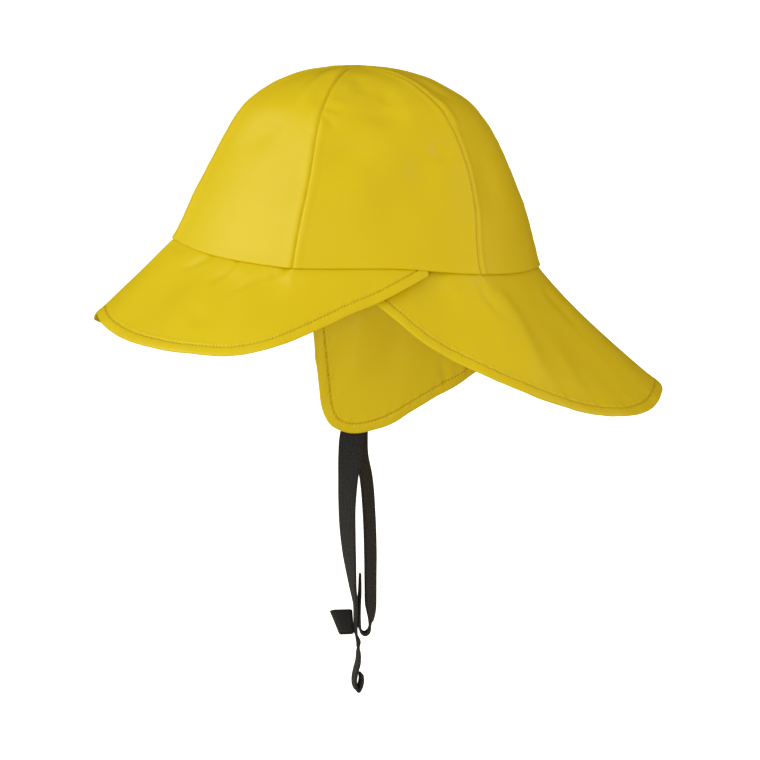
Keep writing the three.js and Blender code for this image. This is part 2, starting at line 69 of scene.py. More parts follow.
def placeCamera(s):
    right, up, back = viewAxes(s["azimuth"], s["elevation"])
    aim = right * s["aimRight"] * mm + up * s["aimUp"] * mm
    data = bpy.data.cameras.new("hatCamera")
    data.sensor_width = s["sensor"]
    data.lens = s["sensor"] * s["distance"] / s["frameWidth"]
    data.clip_start, data.clip_end = 0.1, 60
    eye = bpy.data.objects.new("hatCamera", data)
    bpy.context.scene.collection.objects.link(eye)
    eye.location = aim + back * s["distance"] * mm
    eye.rotation_mode = "QUATERNION"
    eye.rotation_quaternion = (-back).to_track_quat("-Z", "Y")
    bpy.context.scene.camera = eye


placeCamera(cameraSetup)

# turn is azimuth and elevation as for the camera, distance and size in metres, power in watts
softboxes = {
    "key": {"turn": (-80, 24), "distance": 2.2, "size": (2.2, 1.6), "power": 20, "colour": "#F2FFEE"},
    "front": {"turn": (-22, -4), "distance": 2.6, "size": (1.4, 1.2), "power": 20, "colour": "#F8FFF2"},
    "back": {"turn": (70, 20), "distance": 2.6, "size": (1.6, 1.4), "power": 9, "colour": "#FFF6E4"},
}


def hexToLinear(text):
    channels = [int(text[i : i + 2], 16) / 255 for i in (1, 3, 5)]
    linear = [c / 12.92 if c <= 0.04045 else ((c + 0.055) / 1.055) ** 2.4 for c in channels]
    return (*linear, 1.0)


for name, s in softboxes.items():
    right, up, back = viewAxes(*s["turn"])
    light = bpy.data.lights.new(f"{name}Softbox", "AREA")
    light.shape = "RECTANGLE"
    light.size, light.size_y = s["size"]
    light.energy = s["power"]
    light.color = hexToLinear(s["colour"])[:3]
    lamp = bpy.data.objects.new(f"{name}Softbox", light)
    bpy.context.scene.collection.objects.link(lamp)
    lamp.location = Vector((0, 0, -0.05)) + back * s["distance"]
    lamp.rotation_mode = "QUATERNION"
    lamp.rotation_quaternion = (-back).to_track_quat("-Z", "Y")


# Materials
def addNode(tree, kind, inputs=None, **settings):
    node = tree.nodes.new(kind)
    for key, value in settings.items():
        setattr(node, key, value)
    for key, value in (inputs or {}).items():
        if isinstance(value, bpy.types.NodeSocket):
            tree.links.new(value, node.inputs[key])
        else:
            node.inputs[key].default_value = value
    return node


def newFinish(name):
    finish = bpy.data.materials.new(name)
    finish.use_nodes = True
    finish.node_tree.nodes.clear()
    return finish, finish.node_tree


def closeFinish(tree, inputs):
    shader = addNode(tree, "ShaderNodeBsdfPrincipled", inputs)
    addNode(tree, "ShaderNodeOutputMaterial", {"Surface": shader.outputs[0]})


def noiseOf(tree, where, scale, detail, **more):
    inputs = {"Vector": where, "Scale": scale, "Detail": detail, **more}
    return addNode(tree, "ShaderNodeTexNoise", inputs).outputs["Fac"]


def mathOf(tree, operation, *values):
    return addNode(tree, "ShaderNodeMath", dict(enumerate(values)), operation=operation).outputs[0]


def blendOf(tree, share, first, second):
    mix = addNode(tree, "ShaderNodeMix", {"Factor": share}, data_type="RGBA")
    mix.inputs[6].default_value = hexToLinear(first)
    mix.inputs[7].default_value = hexToLinear(second)
    return mix.outputs[2]


def bumpOf(tree, height, depthMm, under=None, strength=1.0):
    inputs = {"Height": height, "Distance": depthMm * mm, "Strength": strength}
    if under is not None:
        inputs["Normal"] = under
    return addNode(tree, "ShaderNodeBump", inputs).outputs["Normal"]


def perMm(size):
    return 1000.0 / size  # texture scale for a pattern of that many mm


# Polyurethane coated polyester knit, the yellow cloth. A smooth satin skin without weave: wide soft
# highlights, a little uneven in gloss, with shallow handling waves.
coatLook = {
    "colour": "#DFC600",
    "deeper": "#DABD00",
    "toneMm": 55.0,  # size of the faint changes in tone
    "glossMm": 9.0,
    "roughness": (0.36, 0.44),
    "waveMm": 26.0,  # handling waves
    "waveDepthMm": 0.35,
    "skinMm": 1.1,  # the knit showing faintly through the skin
    "skinDepthMm": 0.012,
    "stitchMm": 2.0,  # pinch at each stitch of a hem
    "pinchDepthMm": 0.16,
}


def polyurethaneCoatedKnit(s):
    finish, tree = newFinish("polyurethaneCoatedKnit")
    place = addNode(tree, "ShaderNodeTexCoord").outputs["Object"]
    tone = noiseOf(tree, place, perMm(s["toneMm"]), 2.0)
    gloss = noiseOf(tree, place, perMm(s["glossMm"]), 3.0)
    low, high = s["roughness"]
    limits = {"From Min": 0.3, "From Max": 0.7, "To Min": low, "To Max": high}
    rough = addNode(tree, "ShaderNodeMapRange", {"Value": gloss, **limits})
    waved = bumpOf(tree, noiseOf(tree, place, perMm(s["waveMm"]), 1.0, Distortion=0.4), s["waveDepthMm"])
    skinned = bumpOf(tree, noiseOf(tree, place, perMm(s["skinMm"]), 2.0), s["skinDepthMm"], waved)
    # each stitch pinches the cloth beside the hem's stitch line
    along = addNode(tree, "ShaderNodeAttribute", attribute_name="alongMm").outputs["Fac"]
    offLine = addNode(tree, "ShaderNodeAttribute", attribute_name="offStitchMm").outputs["Fac"]
    beat = mathOf(tree, "COSINE", mathOf(tree, "MULTIPLY", along, 2 * math.pi / s["stitchMm"]))
    spread = mathOf(tree, "MULTIPLY", mathOf(tree, "MULTIPLY", offLine, offLine), -1.6)
    pinch = mathOf(tree, "MULTIPLY", beat, mathOf(tree, "EXPONENT", spread))
    closeFinish(tree, {
        "Base Color": blendOf(tree, tone, s["colour"], s["deeper"]),
        "Roughness": rough.outputs["Result"],
        "IOR": 1.5,
        "Specular IOR Level": 0.4,
        "Coat Weight": 0.06,
        "Coat Roughness": 0.3,
        "Normal": bumpOf(tree, pinch, s["pinchDepthMm"], skinned),
    })
    return finish


# The uncoated back of the same cloth: a matt brushed knit with fine wales, paler than the coated face.
backingLook = {
    "colour": "#E2CF6E",
    # painted shade: the darker tone given to the low valleys between the wales
    "paintedValleyShade": "#CDB550",
    "waleMm": 1.3,  # real wales are 0.7 mm, drawn wider so that they show
    "depthMm": 0.09,
    "roughness": 0.9,
}


def brushedKnitBacking(s):
    finish, tree = newFinish("brushedKnitBacking")
    flat = addNode(tree, "ShaderNodeUVMap", uv_map="clothMm").outputs["UV"]
    wales = addNode(
        tree,
        "ShaderNodeTexWave",
        {"Vector": flat, "Scale": 1 / (s["waleMm"] * 20 / (2 * math.pi)), "Distortion": 1.2, "Detail": 2.0},
        wave_type="BANDS",
        bands_direction="X",
    )
    height = mathOf(tree, "ADD", wales.outputs["Fac"], noiseOf(tree, flat, 1 / 1.7, 4.0))
    # the colour follows the same height as the bump, so the valleys between the wales are painted darker:
    # painted shade in the valleys
    closeFinish(tree, {
        "Base Color": blendOf(tree, height, s["paintedValleyShade"], s["colour"]),
        "Roughness": s["roughness"],
        "IOR": 1.5,
        "Sheen Weight": 0.25,
        "Sheen Roughness": 0.6,
        "Normal": bumpOf(tree, height, s["depthMm"]),
    })
    return finish


# Spun polyester sewing thread: twisted, a little glossier and deeper in tone than the cloth it sews.
threadLook = {
    "yellow": {"colour": "#DFC01C", "roughness": 0.55},
    "black": {"colour": "#121217", "roughness": 0.6},
}


def spunPolyesterThread(tone):
    s = threadLook[tone]
    finish, tree = newFinish(f"spunPolyesterThread_{tone}")
    place = addNode(tree, "ShaderNodeTexCoord").outputs["Object"]
    bump = bumpOf(tree, noiseOf(tree, place, perMm(0.5), 1.0), 0.05)  # its twist
    closeFinish(tree, {
        "Base Color": hexToLinear(s["colour"]),
        "Roughness": s["roughness"],
        "Sheen Weight": 0.15,
        "Normal": bump,
    })
    return finish


# Knitted elastic tape, charcoal: matt, with fine lengthwise ribs and lighter flecks of filament.
tapeLook = {
    "dark": "#131217",
    "light": "#34323B",
    "ribMm": 1.05,
    "courseMm": 1.3,
    "depthMm": 0.12,
    "roughness": 0.82,
}


def knittedElasticTape(s):
    finish, tree = newFinish("knittedElasticTape")
    flat = addNode(tree, "ShaderNodeUVMap", uv_map="clothMm").outputs["UV"]
    parts = addNode(tree, "ShaderNodeSeparateXYZ", {0: flat})
    across = mathOf(tree, "MULTIPLY", parts.outputs["X"], 2 * math.pi / s["ribMm"])
    down = mathOf(tree, "MULTIPLY", parts.outputs["Y"], 2 * math.pi / s["courseMm"])
    rib = mathOf(tree, "COSINE", across)
    course = mathOf(tree, "COSINE", mathOf(tree, "ADD", down, rib))
    both = mathOf(tree, "MULTIPLY_ADD", course, 0.5, rib)
    fleck = noiseOf(tree, flat, 1.3, 3.0, Roughness=0.7)
    limits = {"From Min": 0.4, "From Max": 0.72, "To Min": 0.25, "To Max": 1.0}
    tone = addNode(tree, "ShaderNodeMapRange", {"Value": fleck, **limits}).outputs["Result"]
    closeFinish(tree, {
        "Base Color": blendOf(tree, tone, s["dark"], s["light"]),
        "Roughness": s["roughness"],
        "Specular IOR Level": 0.3,
        "Sheen Weight": 0.08,
        "Sheen Roughness": 0.5,
        "Normal": bumpOf(tree, both, s["depthMm"], strength=0.8),
    })
    return finish


coat = polyurethaneCoatedKnit(coatLook)
backing = brushedKnitBacking(backingLook)
yellowThread = spunPolyesterThread("yellow")
blackThread = spunPolyesterThread("black")
tape = knittedElasticTape(tapeLook)
print("hat: finishes are made")


# The hat's sizes and curves, in mm
def boxOf(names):
    corners = [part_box(name) for name in names]
    low = np.min([np.array(c[0]) for c in corners], axis=0) * 1000
    high = np.max([np.array(c[1]) for c in corners], axis=0) * 1000
    return low, high


panelNames = ["front_left", "left", "back_left", "back_right", "right", "front_right"]
crownLow, crownHigh = boxOf([f"crown_panel_{side}" for side in panelNames])
openingLength = float(crownHigh[0] - crownLow[0])
unit = openingLength / 193.0  # the tables and lengths below were measured on a hat of this length
openingWidth = 159.5 * unit
crownHeight = float(crownHigh[2]) + 0.1 * unit
openingSlope = 9.4 * unit
panelFlatness = 0.42
seamGap = 0.35 * unit
crownLip = 1.1 * unit

# foot and crest turns of the crown's seams, turns being degrees round the opening from over the face
seamFoot = np.array([0, 61, 122.5, 180, 237.5, 299, 360.0])
seamCrest = np.array([0, 63, 128.5, 180, 231.5, 297, 360.0])
# climb, front reach, back reach, height
crownProfile = np.array([
    (0.0, 1.0, 1.0, 0.0), (0.12, 0.937, 0.958, 0.145), (0.24, 0.892, 0.92, 0.265),
    (0.36, 0.836, 0.868, 0.385), (0.48, 0.777, 0.812, 0.508), (0.58, 0.72, 0.753, 0.622),
    (0.67, 0.66, 0.68, 0.728), (0.735, 0.605, 0.612, 0.8), (0.8, 0.52, 0.505, 0.868),
    (0.87, 0.4, 0.365, 0.934), (0.935, 0.25, 0.19, 0.977), (1.0, 0.0, 0.0, 1.0),
])
# turn, rise of the rim
rimRise = np.array(
    [(0, 1), (20, 0.5), (38, 0.22), (62, 0), (90, -0.06), (118, -0.52), (150, -0.85), (180, -0.92)]
)


def smoothLine(xs, ys):
    # passes through every row and never overshoots
    xs, ys = np.asarray(xs, float), np.asarray(ys, float)
    slope = np.diff(ys) / np.diff(xs)
    before, after = slope[:-1], slope[1:]
    both = np.where(before * after > 0, before * after, 0)
    inner = 2 * both / np.where(before + after == 0, 1, before + after)
    tangent = np.concatenate([slope[:1], inner, slope[-1:]])

    def at(x):
        x = np.clip(x, xs[0], xs[-1])
        i = np.clip(np.searchsorted(xs, x, side="right") - 1, 0, len(xs) - 2)
        span = xs[i + 1] - xs[i]
        s = (x - xs[i]) / span
        bend = (ys[i + 1] - ys[i]) * s * s * (3 - 2 * s)
        ends = s * (1 - s) ** 2 * tangent[i] + s * s * (s - 1) * tangent[i + 1]
        return ys[i] + bend + span * ends

    return at


def smoothstep(x, low, high):
    s = np.clip((np.asarray(x, float) - low) / max(high - low, 1e-9), 0, 1)
    return s * s * (3 - 2 * s)


def unitVector(v):
    return v / np.maximum(np.linalg.norm(v, axis=-1, keepdims=True), 1e-12)


frontReach = smoothLine(crownProfile[:, 0], crownProfile[:, 1])
backReach = smoothLine(crownProfile[:, 0], crownProfile[:, 2])
profileHeight = smoothLine(crownProfile[:, 0], crownProfile[:, 3])
rimShare = smoothLine(rimRise[:, 0], rimRise[:, 1])


def mirrored(turn):
    wrapped = np.asarray(turn, float) % 360
    return np.where(wrapped > 180, 360 - wrapped, wrapped)


def rimHeight(turn):
    return openingSlope * rimShare(mirrored(turn))


def roundOpening(turn, inset=0.0):
    a = np.radians(turn)
    return np.stack([-(openingLength / 2 - inset) * np.cos(a), -(openingWidth / 2 - inset) * np.sin(a)], -1)


def outwardAt(turn):
    a = np.radians(turn)
    return unitVector(np.stack([-np.cos(a) / openingLength, -np.sin(a) / openingWidth], -1))


def seamTurns(climb):
    w = smoothstep(climb, 0, 0.5)[..., None]
    return seamFoot * (1 - w) + seamCrest * w


def panelledOpening(turn, climb=0.0, inset=0.0, flatness=panelFlatness):
    turn, climb, flatness = np.broadcast_arrays(
        np.asarray(turn, float), np.asarray(climb, float), np.asarray(flatness, float)
    )
    wrapped = turn % 360
    turns = seamTurns(climb)
    i = np.clip((turns <= wrapped[..., None]).sum(-1) - 1, 0, 5)
    start = np.take_along_axis(turns, i[..., None], -1)[..., 0]
    end = np.take_along_axis(turns, i[..., None] + 1, -1)[..., 0]
    share = ((wrapped - start) / (end - start))[..., None]
    straight = roundOpening(start, inset) * (1 - share) + roundOpening(end, inset) * share
    return roundOpening(wrapped, inset) * (1 - flatness[..., None]) + straight * flatness[..., None]


def crownPlain(turn, climb, flatness=panelFlatness):
    turn, climb = np.broadcast_arrays(np.asarray(turn, float), np.asarray(climb, float))
    w = (1 - np.cos(np.radians(turn))) / 2
    reach = frontReach(climb) * (1 - w) + backReach(climb) * w
    outline = panelledOpening(turn, climb, 0, flatness) * reach[..., None]
    z = crownHeight * profileHeight(climb) + rimHeight(turn) * (1 - climb) ** 2
    return np.concatenate([outline, z[..., None]], -1)


def crownNormal(turn, climb):
    c = np.clip(climb, 0.01, 0.985)
    along = crownPlain(turn + 1, c, 0) - crownPlain(turn - 1, c, 0)
    up = crownPlain(turn, c + 0.01, 0) - crownPlain(turn, c - 0.01, 0)
    n = unitVector(np.cross(along, up))
    top = smoothstep(climb, 0.96, 0.99)[..., None]
    return unitVector(n * (1 - top) + np.array([0, 0, 1.0]) * top)


# soft dents and folds that the solid has too: turn, climb, length, lie, width, depth
crownFolds = [
    (78, 0.55, 26, 8, 9, -2.4), (96, 0.74, 20, 70, 9, -2.2), (108, 0.47, 16, 60, 8, -2.0),
    (95, 0.25, 40, 80, 12, -1.6), (30, 0.62, 30, 20, 11, -1.8), (140, 0.4, 34, 75, 12, -1.6),
    (250, 0.5, 30, 20, 11, -1.8), (322, 0.45, 34, 70, 11, -1.6),
]


def crownFoldAt(turn, climb):
    here = crownPlain(turn, climb, 0)
    total = np.zeros(here.shape[:-1])
    for foldTurn, foldClimb, length, lie, width, depth in crownFolds:
        middle = crownPlain(np.array(float(foldTurn)), np.array(foldClimb), 0)
        level = outwardAt(np.array(float(foldTurn)))
        offset = here - middle
        x = offset[..., 1] * level[0] - offset[..., 0] * level[1]
        z = offset[..., 2]
        a = math.radians(lie)
        lengthways = (x * math.cos(a) + z * math.sin(a)) / (length * unit)
        sideways = (z * math.cos(a) - x * math.sin(a)) / (width * unit)
        behind = (offset[..., 0] * level[0] + offset[..., 1] * level[1]) / openingWidth
        total += depth * unit * np.exp(-(lengthways**2) * 4 - sideways**2 - (behind * 4) ** 2)
    return total * smoothstep(climb, 0, 0.2)


def lineDistance(points, line):
    # shortest distance from each point to a line of points, and how far along the line that is, from 0 to 1
    a, step = line[:-1], np.diff(line, axis=0)
    length2 = np.maximum((step**2).sum(-1), 1e-12)
    flat = points.reshape(-1, 3)
    distance, along = np.empty(len(flat)), np.empty(len(flat))
    size = max(1, 1500000 // len(a))
    for first in range(0, len(flat), size):
        part = flat[first : first + size, None, :] - a[None]
        t = np.clip((part * step).sum(-1) / length2, 0, 1)
        d2 = ((part - t[..., None] * step) ** 2).sum(-1)
        best = d2.argmin(1)
        rows = np.arange(len(best))
        distance[first : first + size] = np.sqrt(d2[rows, best])
        along[first : first + size] = (best + t[rows, best]) / len(a)
    return distance.reshape(points.shape[:-1]), along.reshape(points.shape[:-1])


def creaseOffset(points, surface, creases):
    # each crease: its line in the surface's own two measures, width and depth in mm, fade at start and end
    total = np.zeros(points.shape[:-1])
    for line, width, depth, fadeIn, fadeOut in creases:
        line = np.array(line, float)
        steps = np.linspace(0, len(line) - 1, 8 * (len(line) - 1) + 1)
        first = np.interp(steps, range(len(line)), line[:, 0])
        second = np.interp(steps, range(len(line)), line[:, 1])
        distance, along = lineDistance(points, surface(first, second))
        fade = 1.0
        if fadeIn:
            fade = fade * smoothstep(along, 0, fadeIn)
        if fadeOut:
            fade = fade * (1 - smoothstep(along, 1 - fadeOut, 1))
        total += depth * unit * np.exp(-((distance / (width * unit)) ** 2)) * fade
    return total


def waves(along, sizes, seed):
    # a gentle uneven wave: sizes are (length, height) in mm
    phase = np.random.default_rng(seed).uniform(0, 2 * math.pi, len(sizes))
    return sum(h * np.sin(2 * math.pi * along / length + p) for (length, h), p in zip(sizes, phase))


# Meshes
def makePiece(name, points, faces, finishes, faceFinish=None, uv=None, traits=None):
    points = np.asarray(points, float).reshape(-1, 3)
    faces = np.asarray(faces, int)
    a, b, c, d = (points[faces[:, k]] for k in range(4))
    volume = (np.einsum("ij,ij->i", a, np.cross(b, c)) + np.einsum("ij,ij->i", a, np.cross(c, d))).sum()
    if volume < 0:
        faces = faces[:, ::-1]
    mesh = bpy.data.meshes.new(name)
    mesh.from_pydata((points * mm).tolist(), [], faces.tolist())
    for finish in finishes:
        mesh.materials.append(finish)
    if faceFinish is not None:
        mesh.polygons.foreach_set("material_index", np.asarray(faceFinish, np.int32))
    mesh.polygons.foreach_set("use_smooth", np.ones(len(mesh.polygons), bool))
    if uv is not None:
        loops = np.empty(len(mesh.loops), np.int32)
        mesh.loops.foreach_get("vertex_index", loops)
        layer = mesh.uv_layers.new(name="clothMm")
        layer.data.foreach_set("uv", np.asarray(uv, np.float32).reshape(-1, 2)[loops].ravel())
    for key, values in (traits or {}).items():
        flat = np.asarray(values, np.float32).ravel()
        mesh.attributes.new(key, "FLOAT", "POINT").data.foreach_set("value", flat)
    work = bmesh.new()
    work.from_mesh(mesh)
    bmesh.ops.remove_doubles(work, verts=work.verts, dist=2e-6)
    work.to_mesh(mesh)
    work.free()
    piece = bpy.data.objects.new(name, mesh)
    bpy.context.scene.collection.objects.link(piece)
    return piece


def shellFaces(columns, rows):
    # every column is a closed loop round the wall: its first half is the outer face, its second the inner
    i, j = np.meshgrid(np.arange(columns - 1), np.arange(rows), indexing="ij")
    nextRow = (j + 1) % rows
    around = np.stack([i * rows + j, i * rows + nextRow, (i + 1) * rows + nextRow, (i + 1) * rows + j], -1)
    around = around.reshape(-1, 4)
    k = np.arange(rows // 2 - 1)
    first = np.stack([k, rows - 1 - k, rows - 2 - k, k + 1], -1)
    last = (columns - 1) * rows + np.stack([k, k + 1, rows - 2 - k, rows - 1 - k], -1)
    return np.concatenate([around, first, last]), np.concatenate([j.ravel(), k, k])


def finishPiece(piece, nodes=()):
    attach(piece, "root")
    if nodes:
        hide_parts(*nodes)
    return piece


# Crown
crown = {
    "wall": 1.1,
    "grooveDepth": 0.75,
    "grooveWidth": 0.7,
    "topGroove": 1.7,  # times deeper over the top, where the cloth is pulled in
    "ridge": 0.34,  # the seam allowance lifts the cloth beside each seam
    "ridgeAt": 2.7,
    "ridgeWidth": 1.7,
    "pucker": 0.16,
    "lip": 0.22,  # the rim's rolled edge stands out
    "lipWidth": 1.9,
    "across": 62,
    "up": 116,
}
# line of (turn, climb), width, depth, fade in, fade out
crownCreases = [
    (
        [(43, 0.971), (47.5, 0.932), (46.8, 0.888), (46.2, 0.838), (48, 0.787), (52.5, 0.725)],
        4.2, 1.1, 0.1, 0.3,
    ),
    ([(58, 0.93), (58.5, 0.86), (59, 0.79), (60, 0.74)], 3.6, -0.7, 0.3, 0.4),
    ([(63, 0.75), (69.8, 0.738), (75, 0.736), (82, 0.742)], 1.8, -0.9, 0.05, 0.6),
    ([(66, 0.775), (74, 0.765), (82, 0.765)], 3.4, 0.6, 0.2, 0.6),
    ([(72, 0.712), (88, 0.718), (103.5, 0.708), (110, 0.685)], 5.5, -1.2, 0.4, 0.4),
    ([(63, 0.722), (67.5, 0.689), (71, 0.658), (75, 0.632)], 2.0, -0.8, 0.05, 0.6),
    ([(82.5, 0.92), (84.5, 0.853), (85.8, 0.796)], 5.0, -1.1, 0.4, 0.4),
    ([(99.8, 0.84), (101, 0.798), (101, 0.757)], 4.5, -0.9, 0.4, 0.4),
    ([(113, 0.585), (117.5, 0.547), (122, 0.515)], 4.2, -1.4, 0.4, 0.3),
    ([(99.2, 0.507), (105, 0.335), (110.8, 0.213)], 9.0, -0.7, 0.4, 0.4),
    ([(81.8, 0.554), (81.8, 0.386), (78.8, 0.232)], 10.0, 0.8, 0.4, 0.4),
    ([(134, 0.8), (133.5, 0.7), (133, 0.62)], 2.4, 0.8, 0.3, 0.4),
    ([(150, 0.9), (146, 0.82), (148, 0.75)], 5.0, -1.0, 0.4, 0.4),
    ([(299, 0.74), (291, 0.73), (284, 0.735), (277, 0.745)], 2.2, -0.9, 0.1, 0.6),
    ([(236, 0.6), (243, 0.57), (248, 0.53)], 4.0, -1.2, 0.3, 0.4),
    ([(268, 0.9), (266, 0.83), (265, 0.77)], 5.0, -1.0, 0.4, 0.4),
    ([(200, 0.86), (206, 0.79), (207, 0.72)], 4.5, -0.9, 0.4, 0.4),
    ([(330, 0.88), (326, 0.8), (328, 0.72)], 5.0, -0.9, 0.4, 0.4),
]


def crownShape(turn, climb, seamMm, widthMm):
    s = crown
    plain = crownPlain(turn, climb)
    fade = smoothstep(widthMm, 2, 14) * 0.8 + 0.2
    high = 1 + (s["topGroove"] - 1) * smoothstep(climb, 0.66, 0.78)
    groove = -s["grooveDepth"] * high * np.exp(-((seamMm / (s["grooveWidth"] * high**0.4)) ** 2))
    ridge = s["ridge"] * np.exp(-(((seamMm - s["ridgeAt"]) / s["ridgeWidth"]) ** 2))
    height = plain[..., 2] + climb * 40
    puckers = waves(height + turn * 0.7, [(17, 0.5), (11, 0.35), (7.3, 0.25)], 5) * s["pucker"]
    puckers = puckers * np.exp(-seamMm / 5.0) * (1 - np.exp(-((seamMm / 1.2) ** 2)))
    rimMm = climb * 1.15 * crownHeight
    lip = s["lip"] * np.exp(-((rimMm / s["lipWidth"]) ** 2)) - 0.08 * np.exp(-(((rimMm - 4.5) / 1.8) ** 2))
    creased = creaseOffset(plain, crownPlain, crownCreases)
    offset = crownFoldAt(turn, climb) + creased * smoothstep(seamMm, 0, 2.5)
    total = offset + (groove + ridge + puckers) * fade + lip
    return plain, total


def crownPanel(side, index):
    s = crown
    # columns crowd towards the seams, rows towards the rim
    near = np.array([0, 0.28, 0.56, 0.85, 1.2, 1.6, 2.1, 2.7, 3.4, 4.2, 5.2, 6.4, 8.0]) / 88.0
    middle = np.linspace(near[-1], 1 - near[-1], s["across"] - 2 * len(near) + 2)
    share = np.concatenate([near[:-1], middle, 1 - near[-2::-1]])
    rimRows = np.array([0, 0.3, 0.6, 1.0, 1.5, 2.1, 2.8, 3.6, 4.5, 5.6]) / 118.0
    climb = np.concatenate([rimRows[:-1], np.linspace(rimRows[-1], 1.0, s["up"] - len(rimRows) + 1)])[::-1]
    seams = seamTurns(climb)
    start, end = seams[:, index], seams[:, index + 1]
    turn = start[None, :] * (1 - share[:, None]) + end[None, :] * share[:, None]
    climbs = np.broadcast_to(climb[None, :], turn.shape)
    plain = crownPlain(turn, climbs)
    left, right = plain[:1], plain[-1:]
    fromLeft, fromRight = np.linalg.norm(plain - left, axis=-1), np.linalg.norm(plain - right, axis=-1)
    seamMm = np.minimum(fromLeft, fromRight)
    widthMm = np.broadcast_to(np.linalg.norm(right - left, axis=-1), turn.shape)
    normal = crownNormal(turn, climbs)
    plain, offset = crownShape(turn, climbs, seamMm, widthMm)
    outer = plain + normal * offset[..., None]
    inner = plain + normal * (np.minimum(offset, crownFoldAt(turn, climbs)) - s["wall"])[..., None]
    down = unitVector(outer[:, -1] - outer[:, -4])
    out = unitVector(normal[:, -1])
    centre = (outer[:, -1] + inner[:, -1]) / 2
    radius = np.linalg.norm(outer[:, -1] - inner[:, -1], axis=-1, keepdims=True) / 2
    angles = np.radians([30, 60, 90, 100, 120, 150])
    arc = np.stack([centre + radius * (out * math.cos(t) + down * math.sin(t)) for t in angles], 1)
    loops = np.concatenate([outer, arc, inner[:, ::-1]], 1)
    columns, rows = loops.shape[:2]
    faces, rowOf = shellFaces(columns, rows)
    count = outer.shape[1]
    lining = (rowOf >= count + 5).astype(int)
    arcMm = np.radians(turn) * 88
    upMm = climbs * 118
    uv = np.stack(
        [np.concatenate([flat, np.repeat(flat[:, -1:], 6, 1), flat[:, ::-1]], 1) for flat in (arcMm, upMm)], -1
    )
    farOff = np.full((columns, rows), 99.0)  # no stitch line here
    return makePiece(
        f"cloth_panel_{side}",
        loops,
        faces,
        [coat, backing],
        lining,
        uv,
        {"alongMm": np.zeros((columns, rows)), "offStitchMm": farOff},
    )


for index, side in enumerate(panelNames):
    finishPiece(crownPanel(side, index), [f"crown_panel_{side}"])
print("hat: crown panels are made")


# Inside of the crown: taped seams and the band round the opening
inside = {
    "tapeWidth": 11.0,
    "tapeWall": 0.3,
    "tapeLift": 0.25,  # off the lining
    "bandRise": 0.13,
    "bandWall": 0.8,
    "bandInset": 3.0,
    "bandInsetAtFlaps": 6.3,  # more, to pass inside the flaps
}


def crownInner(turn, climb, extra):
    normal = crownNormal(turn, climb)
    plain = crownPlain(turn, climb)
    offset = crownFoldAt(turn, climb)
    offset = offset + np.minimum(creaseOffset(plain, crownPlain, crownCreases), 0)
    return plain + normal * (offset - crown["wall"] - crown["grooveDepth"] * 0.3 - extra)[..., None]


def seamTapes():
    s = inside
    pointSets, faceSets, base = [], [], 0
    across = np.linspace(-1, 1, 11)
    climb = np.linspace(0.0, 0.985, 90)
    for index in range(6):
        seam = seamTurns(climb)[:, index]
        radius = np.maximum(88 * frontReach(climb), 3.0)
        half = np.degrees(s["tapeWidth"] / 2 / radius) * np.minimum(1, radius / 14)
        turn = seam[None] + across[:, None] * half[None]
        climbs = np.broadcast_to(climb[None], turn.shape)
        rounded = 0.12 * across[:, None] ** 8
        outer = crownInner(turn, climbs, s["tapeLift"])
        inner = crownInner(turn, climbs, s["tapeLift"] + s["tapeWall"] - rounded)
        loops = np.concatenate([outer, inner[:, ::-1]], 1)
        faces, _ = shellFaces(*loops.shape[:2])
        pointSets.append(loops.reshape(-1, 3))
        faceSets.append(faces + base)
        base += loops.shape[0] * loops.shape[1]
    points = np.concatenate(pointSets)
    uv = points[:, [0, 2]]
    return makePiece("inner_seam_tapes", points, np.concatenate(faceSets), [backing], None, uv)


def innerBand():
    s = inside
    turn = np.linspace(0, 360, 361)
    side = mirrored(turn)
    thick = smoothstep(side, 56, 66) * (1 - smoothstep(side, 139, 150))
    inset = s["bandInset"] + s["bandInsetAtFlaps"] * thick
    rise = np.linspace(0, 1, 15)
    low = np.concatenate([panelledOpening(turn, 0, 0), (rimHeight(turn) - 1.6)[:, None]], 1)
    low[:, :2] -= outwardAt(turn) * inset[:, None]
    top = crownInner(turn, np.full(turn.shape, s["bandRise"]), 0.7)
    top[:, :2] -= outwardAt(turn) * 0.4
    w = rise[None, :, None]
    face = low[:, None] * (1 - w) + top[:, None] * w
    bulge = np.sin(np.pi * rise)[None] * (0.9 - 0.6 * thick[:, None])
    level = np.concatenate([outwardAt(turn), np.zeros((361, 1))], 1)[:, None]
    face = face - level * bulge[..., None]
    outer = face + level * s["bandWall"] / 2
    inner = face - level * s["bandWall"] / 2
    loops = np.concatenate([outer, inner[:, ::-1]], 1)
    rows = loops.shape[1]
    faces, _ = shellFaces(361, rows)
    faces = faces[: 360 * rows]
    along = np.broadcast_to((np.radians(turn) * 88)[:, None], (361, rows))
    up = np.broadcast_to(np.concatenate([rise, rise[::-1]])[None] * 14, (361, rows))
    return makePiece("inner_rim_band", loops, faces, [backing], None, np.stack([along, up], -1))


finishPiece(seamTapes())
finishPiece(innerBand())
print("hat: inside of the crown is made")


# Brims
hem = {
    "width": 5.0,  # edge to stitch line
    "bulge": 0.42,  # the rolled edge swells above the brim
    "under": 0.75,  # and below it
    "edge": 1.05,  # thickness at the edge before it is rounded
    "groove": 0.5,
    "grooveWidth": 0.42,
    "allowance": 8.2,  # the turned-in cloth ends here underneath
    "allowanceWall": 0.5,
    "wall": 0.95,
    "sunk": (-0.3, -1.5),  # the thread over and under the hem, from the brim's middle
}
hemRows = np.array(
    [0, 0.12, 0.35, 0.7, 1.1, 1.6, 2.2, 2.8, 3.3, 3.8, 4.2, 4.5, 4.7, 4.85, 5, 5.15, 5.3, 5.55]
    + [5.9, 6.4, 7, 7.7, 8.05, 8.35, 9.2, 10.5]
)


